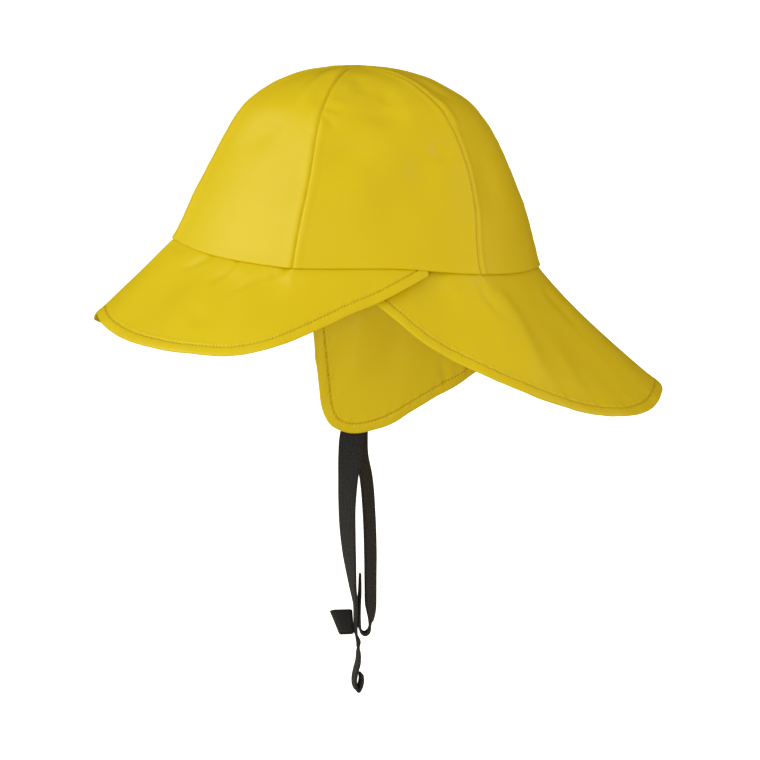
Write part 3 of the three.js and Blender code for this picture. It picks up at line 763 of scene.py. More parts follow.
def hemOver(d):
    s = hem
    x = np.clip(d / s["width"], 0, 1)
    roll = np.sin(np.pi * x) ** 0.62 * (1 - 0.25 * x)
    groove = np.exp(-(((d - s["width"]) / s["grooveWidth"]) ** 2))
    shoulder = np.exp(-(((d - s["width"] - 1.3) / 0.8) ** 2))
    return s["bulge"] * roll - s["groove"] * groove + 0.14 * shoulder


def hemUnder(d):
    s = hem
    x = np.clip(d / s["width"], 0, 1)
    roll = np.sin(np.pi * x) ** 0.62
    within = 1 - smoothstep(d, s["allowance"] - 0.15, s["allowance"] + 0.15)
    folded = s["allowanceWall"] * within * smoothstep(d, 0, 3)
    groove = np.exp(-(((d - s["width"]) / s["grooveWidth"]) ** 2))
    edge = s["edge"] * (1 - smoothstep(d, 0, 2.5)) + s["wall"] * smoothstep(d, 0, 2.5)
    return -(edge + folded + s["under"] * roll * 0.6 - 0.3 * groove)


frontBrim = {
    "reach": 44.0 * unit,
    "drop": 42.5 * unit,
    "flare": 0.96,
    "tuck": 0.0,
    "from": -104.0,
    "to": 104.0,
    "columns": 420,
    "rows": 30,
    "seed": 11,
    # turn, reach, drop
    "edge": np.array([
        (0, 0.94, 0.9), (10, 1.0, 0.965), (22, 1.02, 1.01), (34, 1.0, 1.02), (46, 0.93, 1.0),
        (58, 0.755, 0.89), (70, 0.535, 0.675), (80, 0.37, 0.48), (90, 0.24, 0.32),
        (98, 0.125, 0.17), (104, 0.035, 0.05),
    ]),
    # turn, out, degrees wide, share long, depth: as the solid has them
    "folds": [
        (22, 0.3, 7, 0.3, -1.6), (38, 0.3, 6, 0.3, -1.8), (58, 0.32, 9, 0.35, -2.2),
        (322, 0.35, 10, 0.35, -1.8),
    ],
    # line of (turn, out), width, depth, fade in, fade out
    "creases": [
        ([(26, 0.02), (21, 0.12), (16, 0.24)], 1.9, -0.8, 0.0, 0.5),
        ([(38, 0.02), (35, 0.16), (30, 0.3)], 1.9, -0.9, 0.0, 0.5),
        ([(58, 0.02), (51, 0.14), (45, 0.24), (38, 0.34)], 2.6, -1.2, 0.0, 0.5),
        ([(55, 0.1), (48, 0.2), (42, 0.3)], 2.6, 0.7, 0.2, 0.5),
        ([(2, 0.02), (8, 0.06), (14, 0.05)], 2.0, -0.7, 0.2, 0.5),
        ([(30, 0.5), (36, 0.62), (38, 0.74)], 5.0, -0.6, 0.4, 0.4),
        ([(302, 0.02), (310, 0.15), (317, 0.3)], 2.6, -1.1, 0.0, 0.5),
        ([(330, 0.02), (334, 0.14), (339, 0.28)], 2.0, -0.8, 0.0, 0.5),
        ([(345, 0.5), (338, 0.62), (336, 0.75)], 5.0, -0.6, 0.4, 0.4),
    ],
}
backBrim = {
    "reach": 67.0 * unit,
    "drop": 72.0 * unit,
    "flare": 1.12,
    "tuck": 3.4 * unit,
    "from": 71.0,
    "to": 289.0,
    "columns": 560,
    "rows": 44,
    "seed": 23,
    "edge": np.array([
        (71, 0.015, 0.025), (80, 0.085, 0.115), (90, 0.225, 0.3), (100, 0.365, 0.505),
        (110, 0.445, 0.64), (120, 0.555, 0.77), (130, 0.685, 0.88), (140, 0.82, 0.95),
        (150, 0.93, 0.98), (160, 0.98, 0.96), (170, 0.985, 0.905), (180, 0.985, 0.88),
    ]),
    "folds": [
        (112, 0.35, 10, 0.35, -1.8), (128, 0.6, 8, 0.4, 2.2), (152, 0.6, 10, 0.4, -1.8),
        (205, 0.6, 12, 0.4, -1.8), (236, 0.6, 10, 0.4, 2.0),
    ],
    "creases": [
        ([(121, 0.03), (122.5, 0.2), (125, 0.41)], 2.8, -1.0, 0.1, 0.5),
        ([(127, 0.04), (131.5, 0.35), (130.2, 0.62), (127.8, 0.88)], 6.0, 0.9, 0.2, 0.3),
        ([(108, 0.05), (112.5, 0.18), (117, 0.3)], 4.0, 0.8, 0.2, 0.5),
        ([(143, 0.45), (141, 0.7), (138.5, 0.9)], 7.0, 0.7, 0.4, 0.3),
        ([(160, 0.1), (163, 0.3), (160, 0.5)], 6.0, -0.8, 0.3, 0.5),
        ([(238, 0.03), (236, 0.22), (232, 0.42)], 3.0, -1.0, 0.1, 0.5),
        ([(252, 0.05), (247, 0.2), (243, 0.33)], 4.0, 0.8, 0.2, 0.5),
        ([(212, 0.45), (214, 0.7), (218, 0.9)], 7.0, 0.7, 0.4, 0.3),
        ([(192, 0.1), (189, 0.35), (192, 0.6)], 6.0, -0.8, 0.3, 0.5),
    ],
}

fineTurn = np.arange(0, 360, 0.5)
kinked = panelledOpening(fineTurn)
spread = np.exp(-((np.minimum(fineTurn, 360 - fineTurn) / 4.0) ** 2) / 2)
spread = spread / spread.sum()
softened = np.real(np.fft.ifft(np.fft.fft(kinked, axis=0) * np.fft.fft(spread)[:, None], axis=0))


def openingLine(turn, softness):
    # the panelled outline at the rim, whose corners at the seams run out down the brim
    raw = panelledOpening(turn)
    x = np.interp(np.asarray(turn) % 360, fineTurn, softened[:, 0], period=360)
    y = np.interp(np.asarray(turn) % 360, fineTurn, softened[:, 1], period=360)
    return raw * (1 - softness[..., None]) + np.stack([x, y], -1) * softness[..., None]


def brimBare(s, turn, out):
    turn, out = np.broadcast_arrays(np.asarray(turn, float), np.asarray(out, float))
    side = mirrored(turn)
    reachShare = smoothLine(s["edge"][:, 0], s["edge"][:, 1])(side)
    dropShare = smoothLine(s["edge"][:, 0], s["edge"][:, 2])(side)
    tuck = s["tuck"] * (1 - smoothstep(side, 100, 116))
    away = s["reach"] * reachShare * out ** s["flare"] - crownLip - tuck
    level = openingLine(turn, smoothstep(out, 0, 0.5)) + outwardAt(turn) * away[..., None]
    z = rimHeight(turn) - seamGap - s["drop"] * dropShare * out
    return np.concatenate([level, z[..., None]], -1)


def brimNormal(s, turn, out):
    o = np.clip(out, 0.03, 0.985)
    along = brimBare(s, turn + 1, o) - brimBare(s, turn - 1, o)
    down = brimBare(s, turn, o + 0.015) - brimBare(s, turn, o - 0.015)
    return -unitVector(np.cross(along, down))


def brimFoldAt(s, turn, out):
    wrapped = turn % 360
    total = np.zeros(np.broadcast(turn, out).shape)
    for foldTurn, foldOut, wide, long, depth in s["folds"]:
        spread = -(((wrapped - foldTurn) / wide) ** 2) - ((out - foldOut) / long) ** 2
        total = total + depth * unit * np.exp(spread)
    return total * smoothstep(out, 0, 0.2)


def hemmedRows(surface, columnValues, rows, samples=71):
    # rows of a piece from its sewn edge to its free edge: the last ones keep a set distance from that edge
    steps = np.linspace(0, 1, samples)
    grid = surface(columnValues[:, None], steps[None, :])
    edgeLine = grid[:, -1]
    distance, along = lineDistance(grid, edgeLine)
    outs = np.empty((len(columnValues), rows + len(hemRows) - 1))
    mms = np.empty_like(outs)
    for i in range(len(columnValues)):
        rising = np.maximum.accumulate(distance[i, ::-1])
        rising = rising + np.arange(samples) * 1e-9
        hemOut = np.interp(hemRows, rising, steps[::-1])
        inner = hemOut[-1] * np.linspace(0, 1, rows) ** 0.9
        outs[i] = np.concatenate([inner, hemOut[:-1][::-1]])
        mms[i] = np.interp(1 - outs[i], 1 - steps[::-1], rising)
    lengths = np.concatenate([[0], np.cumsum(np.linalg.norm(np.diff(edgeLine, axis=0), axis=-1))])
    return outs, mms, lengths, edgeLine


def hemmedLoops(points, normal, offset, mms, edgeOut, lift):
    outer = points + normal * (offset + hemOver(mms))[..., None]
    inner = points + normal * (offset * 0.97 + hemUnder(mms))[..., None]
    centre = (outer[:, -1] + inner[:, -1]) / 2
    radius = np.linalg.norm(outer[:, -1] - inner[:, -1], axis=-1, keepdims=True) / 2
    up = unitVector(outer[:, -1] - inner[:, -1])
    angles = np.radians([30, 60, 85, 95, 120, 150])
    arc = np.stack([centre + radius * (up * math.cos(t) + edgeOut * math.sin(t)) for t in angles], 1)
    return np.concatenate([outer[:, :1] + lift, outer, arc, inner[:, ::-1], inner[:, :1] + lift], 1)


def liningRows(rowOf, mms):
    # the coated face reaches round the hem to where the turned-in cloth ends underneath
    width = mms.shape[1]
    turnedIn = int(np.searchsorted(np.sort(hemRows), hem["allowance"]))
    return (rowOf >= 1 + width + 6 + turnedIn).astype(int)


def stitchLines(mms, points, normal, offset):
    # where the distance from the edge is the hem's width, on the face and underneath
    lines = []
    for sunk in hem["sunk"]:
        line = []
        for i in range(len(mms)):
            if mms[i].max() > hem["width"] + 0.4:
                k = int(np.argmin(np.abs(mms[i] - hem["width"])))
                line.append(points[i, k] + normal[i, k] * (offset[i, k] + sunk))
        lines.append(np.array(line))
    return lines


def hemmedPiece(name, node, points, normal, offset, mms, alongMm, edgeLine, lift):
    edgeAlong = unitVector(np.gradient(edgeLine, axis=0))
    edgeOut = np.cross(edgeAlong, normal[:, -1])
    inwards = points[:, -4] - points[:, -1]
    edgeOut = edgeOut * -np.sign((edgeOut * inwards).sum(-1, keepdims=True))
    loops = hemmedLoops(points, normal, offset, mms, edgeOut, lift)
    faces, rowOf = shellFaces(*loops.shape[:2])

    def allRound(values):
        edge = np.repeat(values[:, -1:], 6, 1)
        return np.concatenate([values[:, :1], values, edge, values[:, ::-1], values[:, :1]], 1)

    along, fromEdge = allRound(alongMm), allRound(mms)
    uv = np.stack([along, fromEdge], -1)
    traits = {"alongMm": along, "offStitchMm": np.abs(fromEdge - hem["width"])}
    piece = makePiece(name, loops, faces, [coat, backing], liningRows(rowOf, mms), uv, traits)
    finishPiece(piece, [node])


def brim(name, node, s):
    turn = np.linspace(s["from"], s["to"], s["columns"])
    surface = lambda t, o: brimBare(s, t, o)
    outs, mms, lengths, edgeLine = hemmedRows(surface, turn, s["rows"])
    turns = np.broadcast_to(turn[:, None], outs.shape)
    points = brimBare(s, turns, outs)
    normal = brimNormal(s, turns, outs)
    alongMm = np.broadcast_to(lengths[:, None], outs.shape)
    offset = brimFoldAt(s, turns, outs) + creaseOffset(points, surface, s["creases"])
    edgeWave = waves(alongMm, [(74, 0.3), (41, 0.22), (23, 0.12), (12, 0.06)], s["seed"])
    edgeWave = edgeWave * np.exp(-mms / 14.0)
    puckers = waves(alongMm, [(7.1, 0.07), (5.3, 0.06), (10.7, 0.06)], s["seed"] + 1)
    puckers = puckers * np.exp(-(((mms - 5.6) / 2.4) ** 2))
    offset = offset + (edgeWave + puckers) * smoothstep(outs, 0.0, 0.25)
    lift = np.concatenate([-outwardAt(turn) * 1.2, np.full((len(turn), 1), 1.2)], 1)[:, None]
    hemmedPiece(name, node, points, normal, offset, mms, alongMm, edgeLine, lift)
    return stitchLines(mms, points, normal, offset)


frontSeams = brim("cloth_front_brim", "front_brim", frontBrim)
backSeams = brim("cloth_back_brim", "back_brim", backBrim)
print("hat: brims are made")


# Ear flaps
flapShape = {
    "length": 90.0 * unit,
    "tuck": 5.0 * unit,
    "lean": 30.0 * unit,
    "curlSpan": 14.0,
    "inset": 6.8 * unit,
    "topFrom": 64.0,
    "topTo": 141.0,
    "tipAlong": 0.36,
    "columns": 300,
    "rows": 34,
    # along, turn, depth
    "edge": np.array([
        (0, 70, 0.55), (0.1, 71.6, 0.7), (0.18, 73.2, 0.835), (0.27, 77, 0.945), (0.36, 84.3, 0.99),
        (0.46, 93, 0.96), (0.58, 103, 0.87), (0.71, 114, 0.76), (0.83, 125, 0.66),
        (0.93, 135.5, 0.55), (1, 141, 0.42),
    ]),
}
flapSides = {
    "left": {
        "sign": 1.0,
        "swing": -1.0,
        "curl": 0.0,
        "seed": 31,
        # line of (across, down), width, depth, fade in, fade out
        "creases": [
            ([(0.3, 0.3), (0.31, 0.55), (0.33, 0.8)], 7.0, 1.3, 0.3, 0.4),
            ([(0.45, 0.3), (0.45, 0.55), (0.45, 0.75)], 7.0, -1.3, 0.3, 0.4),
            ([(0.72, 0.95), (0.7, 0.8), (0.66, 0.66)], 2.6, -0.7, 0.1, 0.6),
            ([(0.8, 0.95), (0.78, 0.82), (0.75, 0.72)], 2.2, 0.5, 0.1, 0.6),
            ([(0.88, 0.95), (0.85, 0.82), (0.82, 0.72)], 2.4, -0.6, 0.1, 0.6),
        ],
    },
    "right": {
        "sign": -1.0,
        "swing": 15.0,
        "curl": 60.0,
        "seed": 37,
        "creases": [
            ([(0.5, 0.3), (0.5, 0.55), (0.48, 0.75)], 7.0, -1.0, 0.3, 0.4),
            ([(0.75, 0.95), (0.73, 0.8), (0.7, 0.68)], 2.6, -0.6, 0.1, 0.6),
        ],
    },
}


def flapFace(side, across, down):
    s, h = flapShape, flapSides[side]
    across, down = np.broadcast_arrays(np.asarray(across, float), np.asarray(down, float))
    edgeTurn = smoothLine(s["edge"][:, 0], s["edge"][:, 1])
    edgeDepth = smoothLine(s["edge"][:, 0], s["edge"][:, 2])
    tipTurn = float(edgeTurn(s["tipAlong"]))
    spine = roundOpening(np.array(tipTurn), s["inset"])
    topTurn = s["topFrom"] + (s["topTo"] - s["topFrom"]) * across
    turn = topTurn * (1 - down) + edgeTurn(across) * down
    share = edgeDepth(across) * down
    level = panelledOpening(turn, 0, s["inset"], panelFlatness * (1 - share))
    front = 1 - smoothstep(turn, tipTurn - s["curlSpan"], tipTurn + s["curlSpan"])
    curl = -np.radians(h["curl"]) * (1 - (1 - share) ** 3) * front
    o = level - spine
    x = spine[0] + o[..., 0] * np.cos(curl) - o[..., 1] * np.sin(curl) + h["swing"] * unit * share**1.2
    y = spine[1] + o[..., 0] * np.sin(curl) + o[..., 1] * np.cos(curl) + s["lean"] * share**1.3
    z = rimHeight(turn) * (1 - share) + s["tuck"] * (1 - down) - s["length"] * share
    return np.stack([x, y * h["sign"], z], -1)


def flapNormal(side, across, down):
    a, d = np.clip(across, 0.01, 0.99), np.clip(down, 0.02, 0.98)
    along = flapFace(side, a + 0.01, d) - flapFace(side, a - 0.01, d)
    fall = flapFace(side, a, d + 0.02) - flapFace(side, a, d - 0.02)
    return -unitVector(np.cross(along, fall)) * flapSides[side]["sign"]


def flapPath(side, p, v):
    # p runs along the free edge from the front of the sewn edge round the tip to its rear, v from the sewn
    # edge to the free edge: gives across and down
    p, v = np.broadcast_arrays(np.asarray(p, float), np.asarray(v, float))
    edgeAcross = np.interp(p, [0, 0.22, 0.86, 1], [0, 0, 1, 1])
    edgeDown = np.interp(p, [0, 0.22, 0.86, 1], [0, 1, 1, 0])
    topAcross = np.interp(p, [0, 0.22, 0.86, 1], [0, 0.16, 0.88, 1])
    return topAcross * (1 - v) + edgeAcross * v, edgeDown * v


def earFlap(side):
    s, h = flapShape, flapSides[side]
    p = np.linspace(0.004, 0.996, s["columns"])
    surface = lambda q, v: flapFace(side, *flapPath(side, q, v))
    vs, mms, lengths, edgeLine = hemmedRows(surface, p, s["rows"])
    across, down = flapPath(side, p[:, None], vs)
    points = flapFace(side, across, down)
    normal = flapNormal(side, across, down)
    alongMm = np.broadcast_to(lengths[:, None], vs.shape)
    face = lambda a, d: flapFace(side, a, d)
    offset = creaseOffset(points, face, h["creases"])
    edgeWave = waves(alongMm, [(52, 0.35), (31, 0.25), (17, 0.15)], h["seed"]) * np.exp(-mms / 10.0)
    puckers = waves(alongMm, [(6.7, 0.09), (4.9, 0.07), (9.3, 0.08)], h["seed"] + 1)
    puckers = puckers * np.exp(-(((mms - 5.8) / 2.8) ** 2))
    offset = offset + (edgeWave + puckers) * smoothstep(vs, 0.05, 0.3)
    node = f"ear_flap_{side}"
    hemmedPiece(f"cloth_{node}", node, points, normal, offset, mms, alongMm, edgeLine, np.zeros(3))
    shown = (p > 0.02) & (p < 0.98)
    return stitchLines(mms[shown], points[shown], normal[shown], offset[shown])


flapSeams = {side: earFlap(side) for side in flapSides}
print("hat: ear flaps are made")


# Chin strap
strap = {
    "width": 12.5 * unit,
    "wall": 1.4 * unit,
    "drop": 103.6 * unit,
    "sewn": 9.0 * unit,
    "leftSeat": 0.7 * unit,
    "rightSeat": 1.28 * unit,
    "flapWall": 1.6 * unit,
    "tail": 37.4 * unit,
    "tab": 32.0 * unit,
    "spread": 6.0 * unit,
    "steps": 14,  # rings between two stations
}
joined = np.array([-0.8 * unit, 0, -(flapShape["length"] + strap["drop"])])
# share of the way down, bow forwards in mm, degrees of the width's direction from X
leftHang = [
    (0.1, -1.5, -34), (0.25, -2.8, -52), (0.38, -3.5, -60), (0.52, -3.4, -64), (0.66, -2.7, -73),
    (0.8, -1.5, -87), (0.92, 0, -95),
]
rightHang = [
    (0.1, -0.3, 40), (0.2, -0.1, 48), (0.32, 1.9, 51), (0.5, 2.4, 52), (0.66, 2.0, 52), (0.8, 1.2, 54),
    (0.92, 0.5, 55),
]
# share of the tail's length, walls along X, degrees
tailRun = [
    (0, 0, -96), (0.17, 0.1, -97), (0.31, 1.1, -108), (0.42, 1.1, -94), (0.57, 0.9, -92),
    (0.68, 0.1, -92), (0.81, -0.5, -92), (0.91, -0.3, -92), (0.965, 0.6, -92), (0.91, 1.6, -92),
    (0.81, 2.2, -92), (0.73, 1.95, -92),
]
# share of the spread, share of the tab's length, degrees, width
tabRun = [
    (0, 0, 74, 1), (0.06, -0.1, 80, 1), (0.22, -0.17, 82, 1), (0.5, -0.2, 82, 1), (0.78, -0.17, 82, 1),
    (0.94, -0.1, 83, 1), (1, 0, 84, 1), (1, 0.25, 84, 1), (0.92, 0.5, 82, 1), (0.9, 0.72, 80, 1),
    (0.9, 0.78, 80, 0.6),
]


def widthDirection(degrees):
    return np.array([math.cos(math.radians(degrees)), math.sin(math.radians(degrees)), 0.0])


def flapTip(side, seat):
    s, tip, sample = strap, flapShape["tipAlong"], 0.05
    sewnAt = 1 - s["sewn"] / flapShape["length"]
    face = lambda a, d: flapFace(side, np.array(a), np.array(d))
    half = sample * s["width"] / np.linalg.norm(face(tip + sample, sewnAt) - face(tip - sample, sewnAt))
    before, after = face(tip - half, sewnAt), face(tip + half, sewnAt)
    start, end = face(tip, sewnAt), face(tip, 1.0)
    across, fall = unitVector(after - before), unitVector(end - start)
    inward = unitVector(np.cross(across, fall)) * flapSides[side]["sign"]
    sewn = (before + after) / 2 + inward * (s["flapWall"] + seat + s["wall"] / 2)
    return sewn, sewn + fall * np.linalg.norm(end - start), fall, across


def hangingStations(tip, end, hang):
    sewn, edge, fall, across = tip
    leaving = edge + fall * 2
    rows = [(sewn, across, 1), (leaving, across, 1)]
    for share, bow, turn in hang:
        point = leaving * (1 - share) + end * share + np.array([bow * unit, 0, 0])
        rows.append((point, widthDirection(turn), 1))
    return rows


def curveThrough(points, steps):
    # a centripetal Catmull-Rom curve, steps to each span
    points = np.asarray(points, float)
    padded = np.concatenate([[2 * points[0] - points[1]], points, [2 * points[-1] - points[-2]]])
    result = []
    for i in range(len(points) - 1):
        p0, p1, p2, p3 = padded[i : i + 4]
        t0, t1, t2 = (max(np.linalg.norm(b - a) ** 0.5, 1e-4) for a, b in ((p0, p1), (p1, p2), (p2, p3)))
        m1 = ((p1 - p0) / t0 - (p2 - p0) / (t0 + t1) + (p2 - p1) / t1) * t1
        m2 = ((p2 - p1) / t1 - (p3 - p1) / (t1 + t2) + (p3 - p2) / t2) * t1
        last = i == len(points) - 2
        for t in np.linspace(0, 1, steps + 1)[: steps + 1 if last else steps]:
            h = t * t * (3 - 2 * t)
            result.append(p1 * (1 - h) + p2 * h + m1 * t * (1 - t) ** 2 + m2 * t * t * (t - 1))
    return np.array(result)


def tapeSection(width, wall):
    # half the outline of a flat tape with soft edges
    x = np.array([-1, -0.985, -0.95, -0.88, -0.6, -0.3, 0, 0.3, 0.6, 0.88, 0.95, 0.985, 1]) * width / 2
    y = np.array([0.12, 0.62, 0.9, 1, 0.97, 0.95, 0.95, 0.95, 0.97, 1, 0.9, 0.62, 0.12]) * wall / 2
    return np.concatenate([x, x[::-1]]), np.concatenate([y, -y[::-1]])


def tapePiece(name, centre, across, widths):
    tangent = unitVector(np.gradient(centre, axis=0))
    across = unitVector(across - tangent * (across * tangent).sum(-1, keepdims=True))
    thick = np.cross(across, tangent)
    x, y = tapeSection(strap["width"], strap["wall"])
    loops = (
        centre[:, None]
        + across[:, None] * (x[None, :, None] * widths[:, None, None])
        + thick[:, None] * y[None, :, None]
    )
    lengths = np.concatenate([[0], np.cumsum(np.linalg.norm(np.diff(centre, axis=0), axis=-1))])
    rings, rows = loops.shape[:2]
    faces, _ = shellFaces(rings, rows)
    u = np.broadcast_to(x[None], (rings, rows))
    v = np.broadcast_to(lengths[:, None], (rings, rows))
    return makePiece(name, loops, faces, [tape], None, np.stack([u, v], -1)), across, thick, lengths


def strapFrom(stations, name):
    s = strap
    centre = curveThrough([row[0] for row in stations], s["steps"])
    position = np.linspace(0, len(stations) - 1, len(centre))
    across = np.stack(
        [np.interp(position, range(len(stations)), [row[1][k] for row in stations]) for k in range(3)], -1
    )
    kernel = np.hanning(s["steps"])
    kernel = kernel / kernel.sum()
    padded = np.pad(across, ((len(kernel), len(kernel)), (0, 0)), "edge")
    across = np.stack([np.convolve(padded[:, k], kernel, "same") for k in range(3)], -1)
    across = across[len(kernel) : -len(kernel)]
    widths = np.interp(position, range(len(stations)), [row[2] for row in stations])
    piece, across, thick, lengths = tapePiece(name, centre, across, widths)
    return piece, centre, across, thick, lengths


leftStations = hangingStations(flapTip("left", strap["leftSeat"]), joined, leftHang)
leftStations += [
    (joined + np.array([x * strap["wall"], 0, -down * strap["tail"]]), widthDirection(turn), 1)
    for down, x, turn in tailRun
]
tab = joined + np.array([strap["wall"] + seamGap, 0, 0])
beside = tab + np.array([strap["spread"], strap["spread"] * -0.14, 0])
rightStations = hangingStations(flapTip("right", strap["rightSeat"]), beside, rightHang)
rightStations += [
    (beside * (1 - back) + tab * back + np.array([0, 0, up * strap["tab"]]), widthDirection(turn), width)
    for back, up, turn, width in tabRun
]
leftTape = strapFrom(leftStations, "tape_left")
rightTape = strapFrom(rightStations, "tape_right")
finishPiece(leftTape[0], ["chin_strap_left"])
finishPiece(rightTape[0], ["chin_strap_right"])

pullLoop = {
    "length": 12.0 * unit,
    "depth": 5.4 * unit,
    "wall": 1.2 * unit,
    "taper": 0.34,  # how much shorter it is at its lower edge
    "tilt": 24.0,
    "seat": 0.55,
}


def makePullLoop(s):
    # a flattened ring of tape, shorter at its lower edge
    radius = s["depth"] / 2 - s["wall"] / 2
    bend = np.linspace(-1.5, 1.5, 15)
    near = [(-s["depth"] / 2 + radius * math.cos(a), radius * math.sin(a)) for a in bend]
    far = [(-s["length"] + s["depth"] / 2 - radius * math.cos(a), -radius * math.sin(a)) for a in bend]
    ring = np.array(near + far)
    ring = np.stack([ring, ring * 0.5 + np.roll(ring, -1, 0) * 0.5], 1).reshape(-1, 2)
    x, y = tapeSection(strap["width"], s["wall"])
    tangent = unitVector(np.roll(ring, -1, 0) - np.roll(ring, 1, 0))
    normal = np.stack([tangent[:, 1], -tangent[:, 0]], -1)
    flat = ring[:, None] + normal[:, None] * y[None, :, None]
    up = np.broadcast_to(x[None], flat.shape[:2])
    lower = 0.5 - up / strap["width"]
    level = np.stack([flat[..., 0] * (1 - s["taper"] * lower), flat[..., 1], up], -1)
    a = math.radians(-s["tilt"])
    turned = np.stack(
        [
            level[..., 0],
            level[..., 1] * math.cos(a) - level[..., 2] * math.sin(a),
            level[..., 1] * math.sin(a) + level[..., 2] * math.cos(a),
        ],
        -1,
    )
    points = turned + joined - np.array([strap["wall"] / 2 + s["seat"], 0, 0])
    rings, rows = points.shape[:2]
    faces, _ = shellFaces(rings, rows)
    j = np.arange(rows)
    seam = np.stack([(rings - 1) * rows + j, (rings - 1) * rows + (j + 1) % rows, (j + 1) % rows, j], -1)
    faces = np.concatenate([faces[: (rings - 1) * rows], seam])
    lengths = np.concatenate([[0], np.cumsum(np.linalg.norm(np.diff(ring, axis=0), axis=-1))])
    uv = np.stack([up, np.broadcast_to(lengths[:, None], up.shape)], -1)
    return makePiece("tape_pull_loop", points, faces, [tape], None, uv)


finishPiece(makePullLoop(pullLoop), ["strap_pull_loop"])
print("hat: chin strap is made")

# Stitches
sewing = {
    "hem": {"spacing": 2.0, "length": 1.45, "thickness": 0.34},
    "strap": {"spacing": 1.5, "length": 0.9, "thickness": 0.3},
    "strapLine": (3.3, 12, 96),  # mm from the tape's middle, then from and to along it
}


def stitchTree(finish):
    # one short thread at every step along a curve
    tree = bpy.data.node_groups.new(f"stitches_{finish.name}", "GeometryNodeTree")
    tree.interface.new_socket("Geometry", in_out="INPUT", socket_type="NodeSocketGeometry")
    for label in ("Spacing", "Stitch Length", "Thread Thickness"):
        tree.interface.new_socket(label, in_out="INPUT", socket_type="NodeSocketFloat")
    tree.interface.new_socket("Geometry", in_out="OUTPUT", socket_type="NodeSocketGeometry")
    entry = addNode(tree, "NodeGroupInput")
    evenly = addNode(
        tree,
        "GeometryNodeResampleCurve",
        {"Curve": entry.outputs["Geometry"], "Length": entry.outputs["Spacing"]},
        mode="LENGTH",
    )
    ball = addNode(tree, "GeometryNodeMeshUVSphere", {"Segments": 6, "Rings": 5, "Radius": 0.5})
    size = addNode(
        tree,
        "ShaderNodeCombineXYZ",
        {
            "X": entry.outputs["Stitch Length"],
            "Y": entry.outputs["Thread Thickness"],
            "Z": entry.outputs["Thread Thickness"],
        },
    )
    shaped = {"Geometry": ball.outputs["Mesh"], "Scale": size.outputs[0]}
    thread = addNode(tree, "GeometryNodeTransform", shaped)
    tangent = addNode(tree, "GeometryNodeInputTangent")
    lie = addNode(tree, "FunctionNodeAlignRotationToVector", {"Vector": tangent.outputs[0]}, axis="X")
    rows = addNode(
        tree,
        "GeometryNodeInstanceOnPoints",
        {
            "Points": evenly.outputs["Curve"],
            "Instance": thread.outputs["Geometry"],
            "Rotation": lie.outputs["Rotation"],
        },
    )
    real = addNode(tree, "GeometryNodeRealizeInstances", {"Geometry": rows.outputs["Instances"]})
    smooth = addNode(tree, "GeometryNodeSetShadeSmooth", {"Geometry": real.outputs["Geometry"]})
    dressed = addNode(
        tree, "GeometryNodeSetMaterial", {"Geometry": smooth.outputs["Geometry"], "Material": finish}
    )
    addNode(tree, "NodeGroupOutput", {"Geometry": dressed.outputs["Geometry"]})
    return tree


stitchTrees = {}


def sewRows(name, lines, s, finish):
    data = bpy.data.curves.new(f"{name}Path", "CURVE")
    data.dimensions = "3D"
    for line in lines:
        if len(line) < 2:
            continue
        spline = data.splines.new("POLY")
        spline.points.add(len(line) - 1)
        spline.points.foreach_set("co", np.concatenate([line * mm, np.ones((len(line), 1))], 1).ravel())
    path = bpy.data.objects.new(f"{name}Path", data)
    bpy.context.scene.collection.objects.link(path)
    if finish.name not in stitchTrees:
        stitchTrees[finish.name] = stitchTree(finish)
    tree = stitchTrees[finish.name]
    modifier = path.modifiers.new("stitches", "NODES")
    modifier.node_group = tree
    values = {"Spacing": s["spacing"], "Stitch Length": s["length"], "Thread Thickness": s["thickness"]}
    for item in tree.interface.items_tree:
        if item.in_out == "INPUT" and item.name in values:
            modifier[item.identifier] = values[item.name] * mm
    ready = path.evaluated_get(bpy.context.evaluated_depsgraph_get())
    mesh = bpy.data.meshes.new_from_object(ready)
    mesh.name = name
    bpy.data.objects.remove(path)
    bpy.data.curves.remove(data)
    piece = bpy.data.objects.new(name, mesh)
    bpy.context.scene.collection.objects.link(piece)
    return finishPiece(piece)


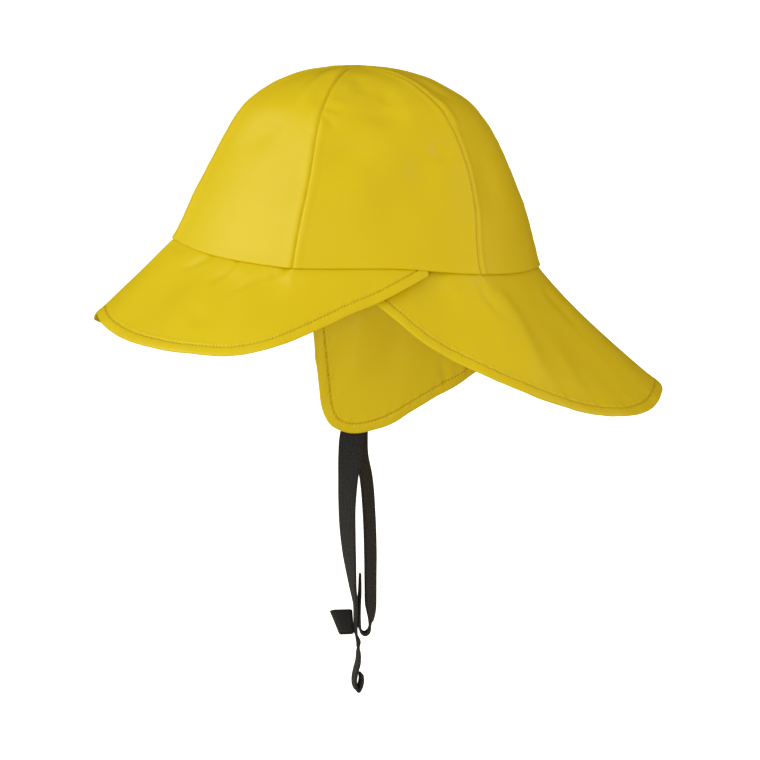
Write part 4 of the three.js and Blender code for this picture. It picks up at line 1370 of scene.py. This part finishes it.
sewRows("hem_stitches_front_brim", frontSeams, sewing["hem"], yellowThread)
sewRows("hem_stitches_back_brim", backSeams, sewing["hem"], yellowThread)
for side, lines in flapSeams.items():
    sewRows(f"hem_stitches_flap_{side}", lines, sewing["hem"], yellowThread)


def tapeLine(strapParts, across, start, end, facing):
    _, centre, acrossAt, thick, lengths = strapParts
    shown = (lengths >= start) & (lengths <= end)
    lift = facing * strap["wall"] * 0.48
    return centre[shown] + acrossAt[shown] * across + thick[shown] * lift


sewRows(
    "edge_stitches_strap_left",
    [tapeLine(leftTape, *sewing["strapLine"], facing) for facing in (1, -1)],
    sewing["strap"],
    blackThread,
)
print(f"hat: stitches are made; tapes {leftTape[4][-1]:.0f} and {rightTape[4][-1]:.0f} mm long")

# Floor and surroundings
studio = {
    "floorHeight": -0.5,
    "floorHalf": 14.0,
    "paper": "#F4F4F4",
    "glow": 0.95,
    "air": "#FFF4D6",
    "airStrength": 0.7,
}


def whitePaperSweep(s):
    finish, tree = newFinish("whitePaperSweep")
    place = addNode(tree, "ShaderNodeTexCoord").outputs["Object"]
    bump = bumpOf(tree, noiseOf(tree, place, perMm(3.0), 2.0), 0.05)  # its grain
    closeFinish(tree, {
        "Base Color": hexToLinear(s["paper"]),
        "Roughness": 0.9,
        "Specular IOR Level": 0.1,
        "Emission Color": (1, 1, 1, 1),
        "Emission Strength": s["glow"],
        "Normal": bump,
    })
    return finish


half, level = studio["floorHalf"], studio["floorHeight"]
floorMesh = bpy.data.meshes.new("paperFloor")
corners = [(-half, -half, level), (half, -half, level), (half, half, level), (-half, half, level)]
floorMesh.from_pydata(corners, [], [(0, 1, 2, 3)])
floorMesh.materials.append(whitePaperSweep(studio))
floor = bpy.data.objects.new("paperFloor", floorMesh)
bpy.context.scene.collection.objects.link(floor)
# the paper is lit on its own, well away from the hat, and throws no light back on it
floor.visible_diffuse = False
floor.visible_glossy = False

world = bpy.data.worlds.new("whiteStudio")
bpy.context.scene.world = world
world.use_nodes = True
background = world.node_tree.nodes["Background"]
background.inputs["Color"].default_value = hexToLinear(studio["air"])
background.inputs["Strength"].default_value = studio["airStrength"]
world.cycles_visibility.glossy = False
bpy.context.scene.view_settings.view_transform = "Standard"

print("hat: everything is in place")
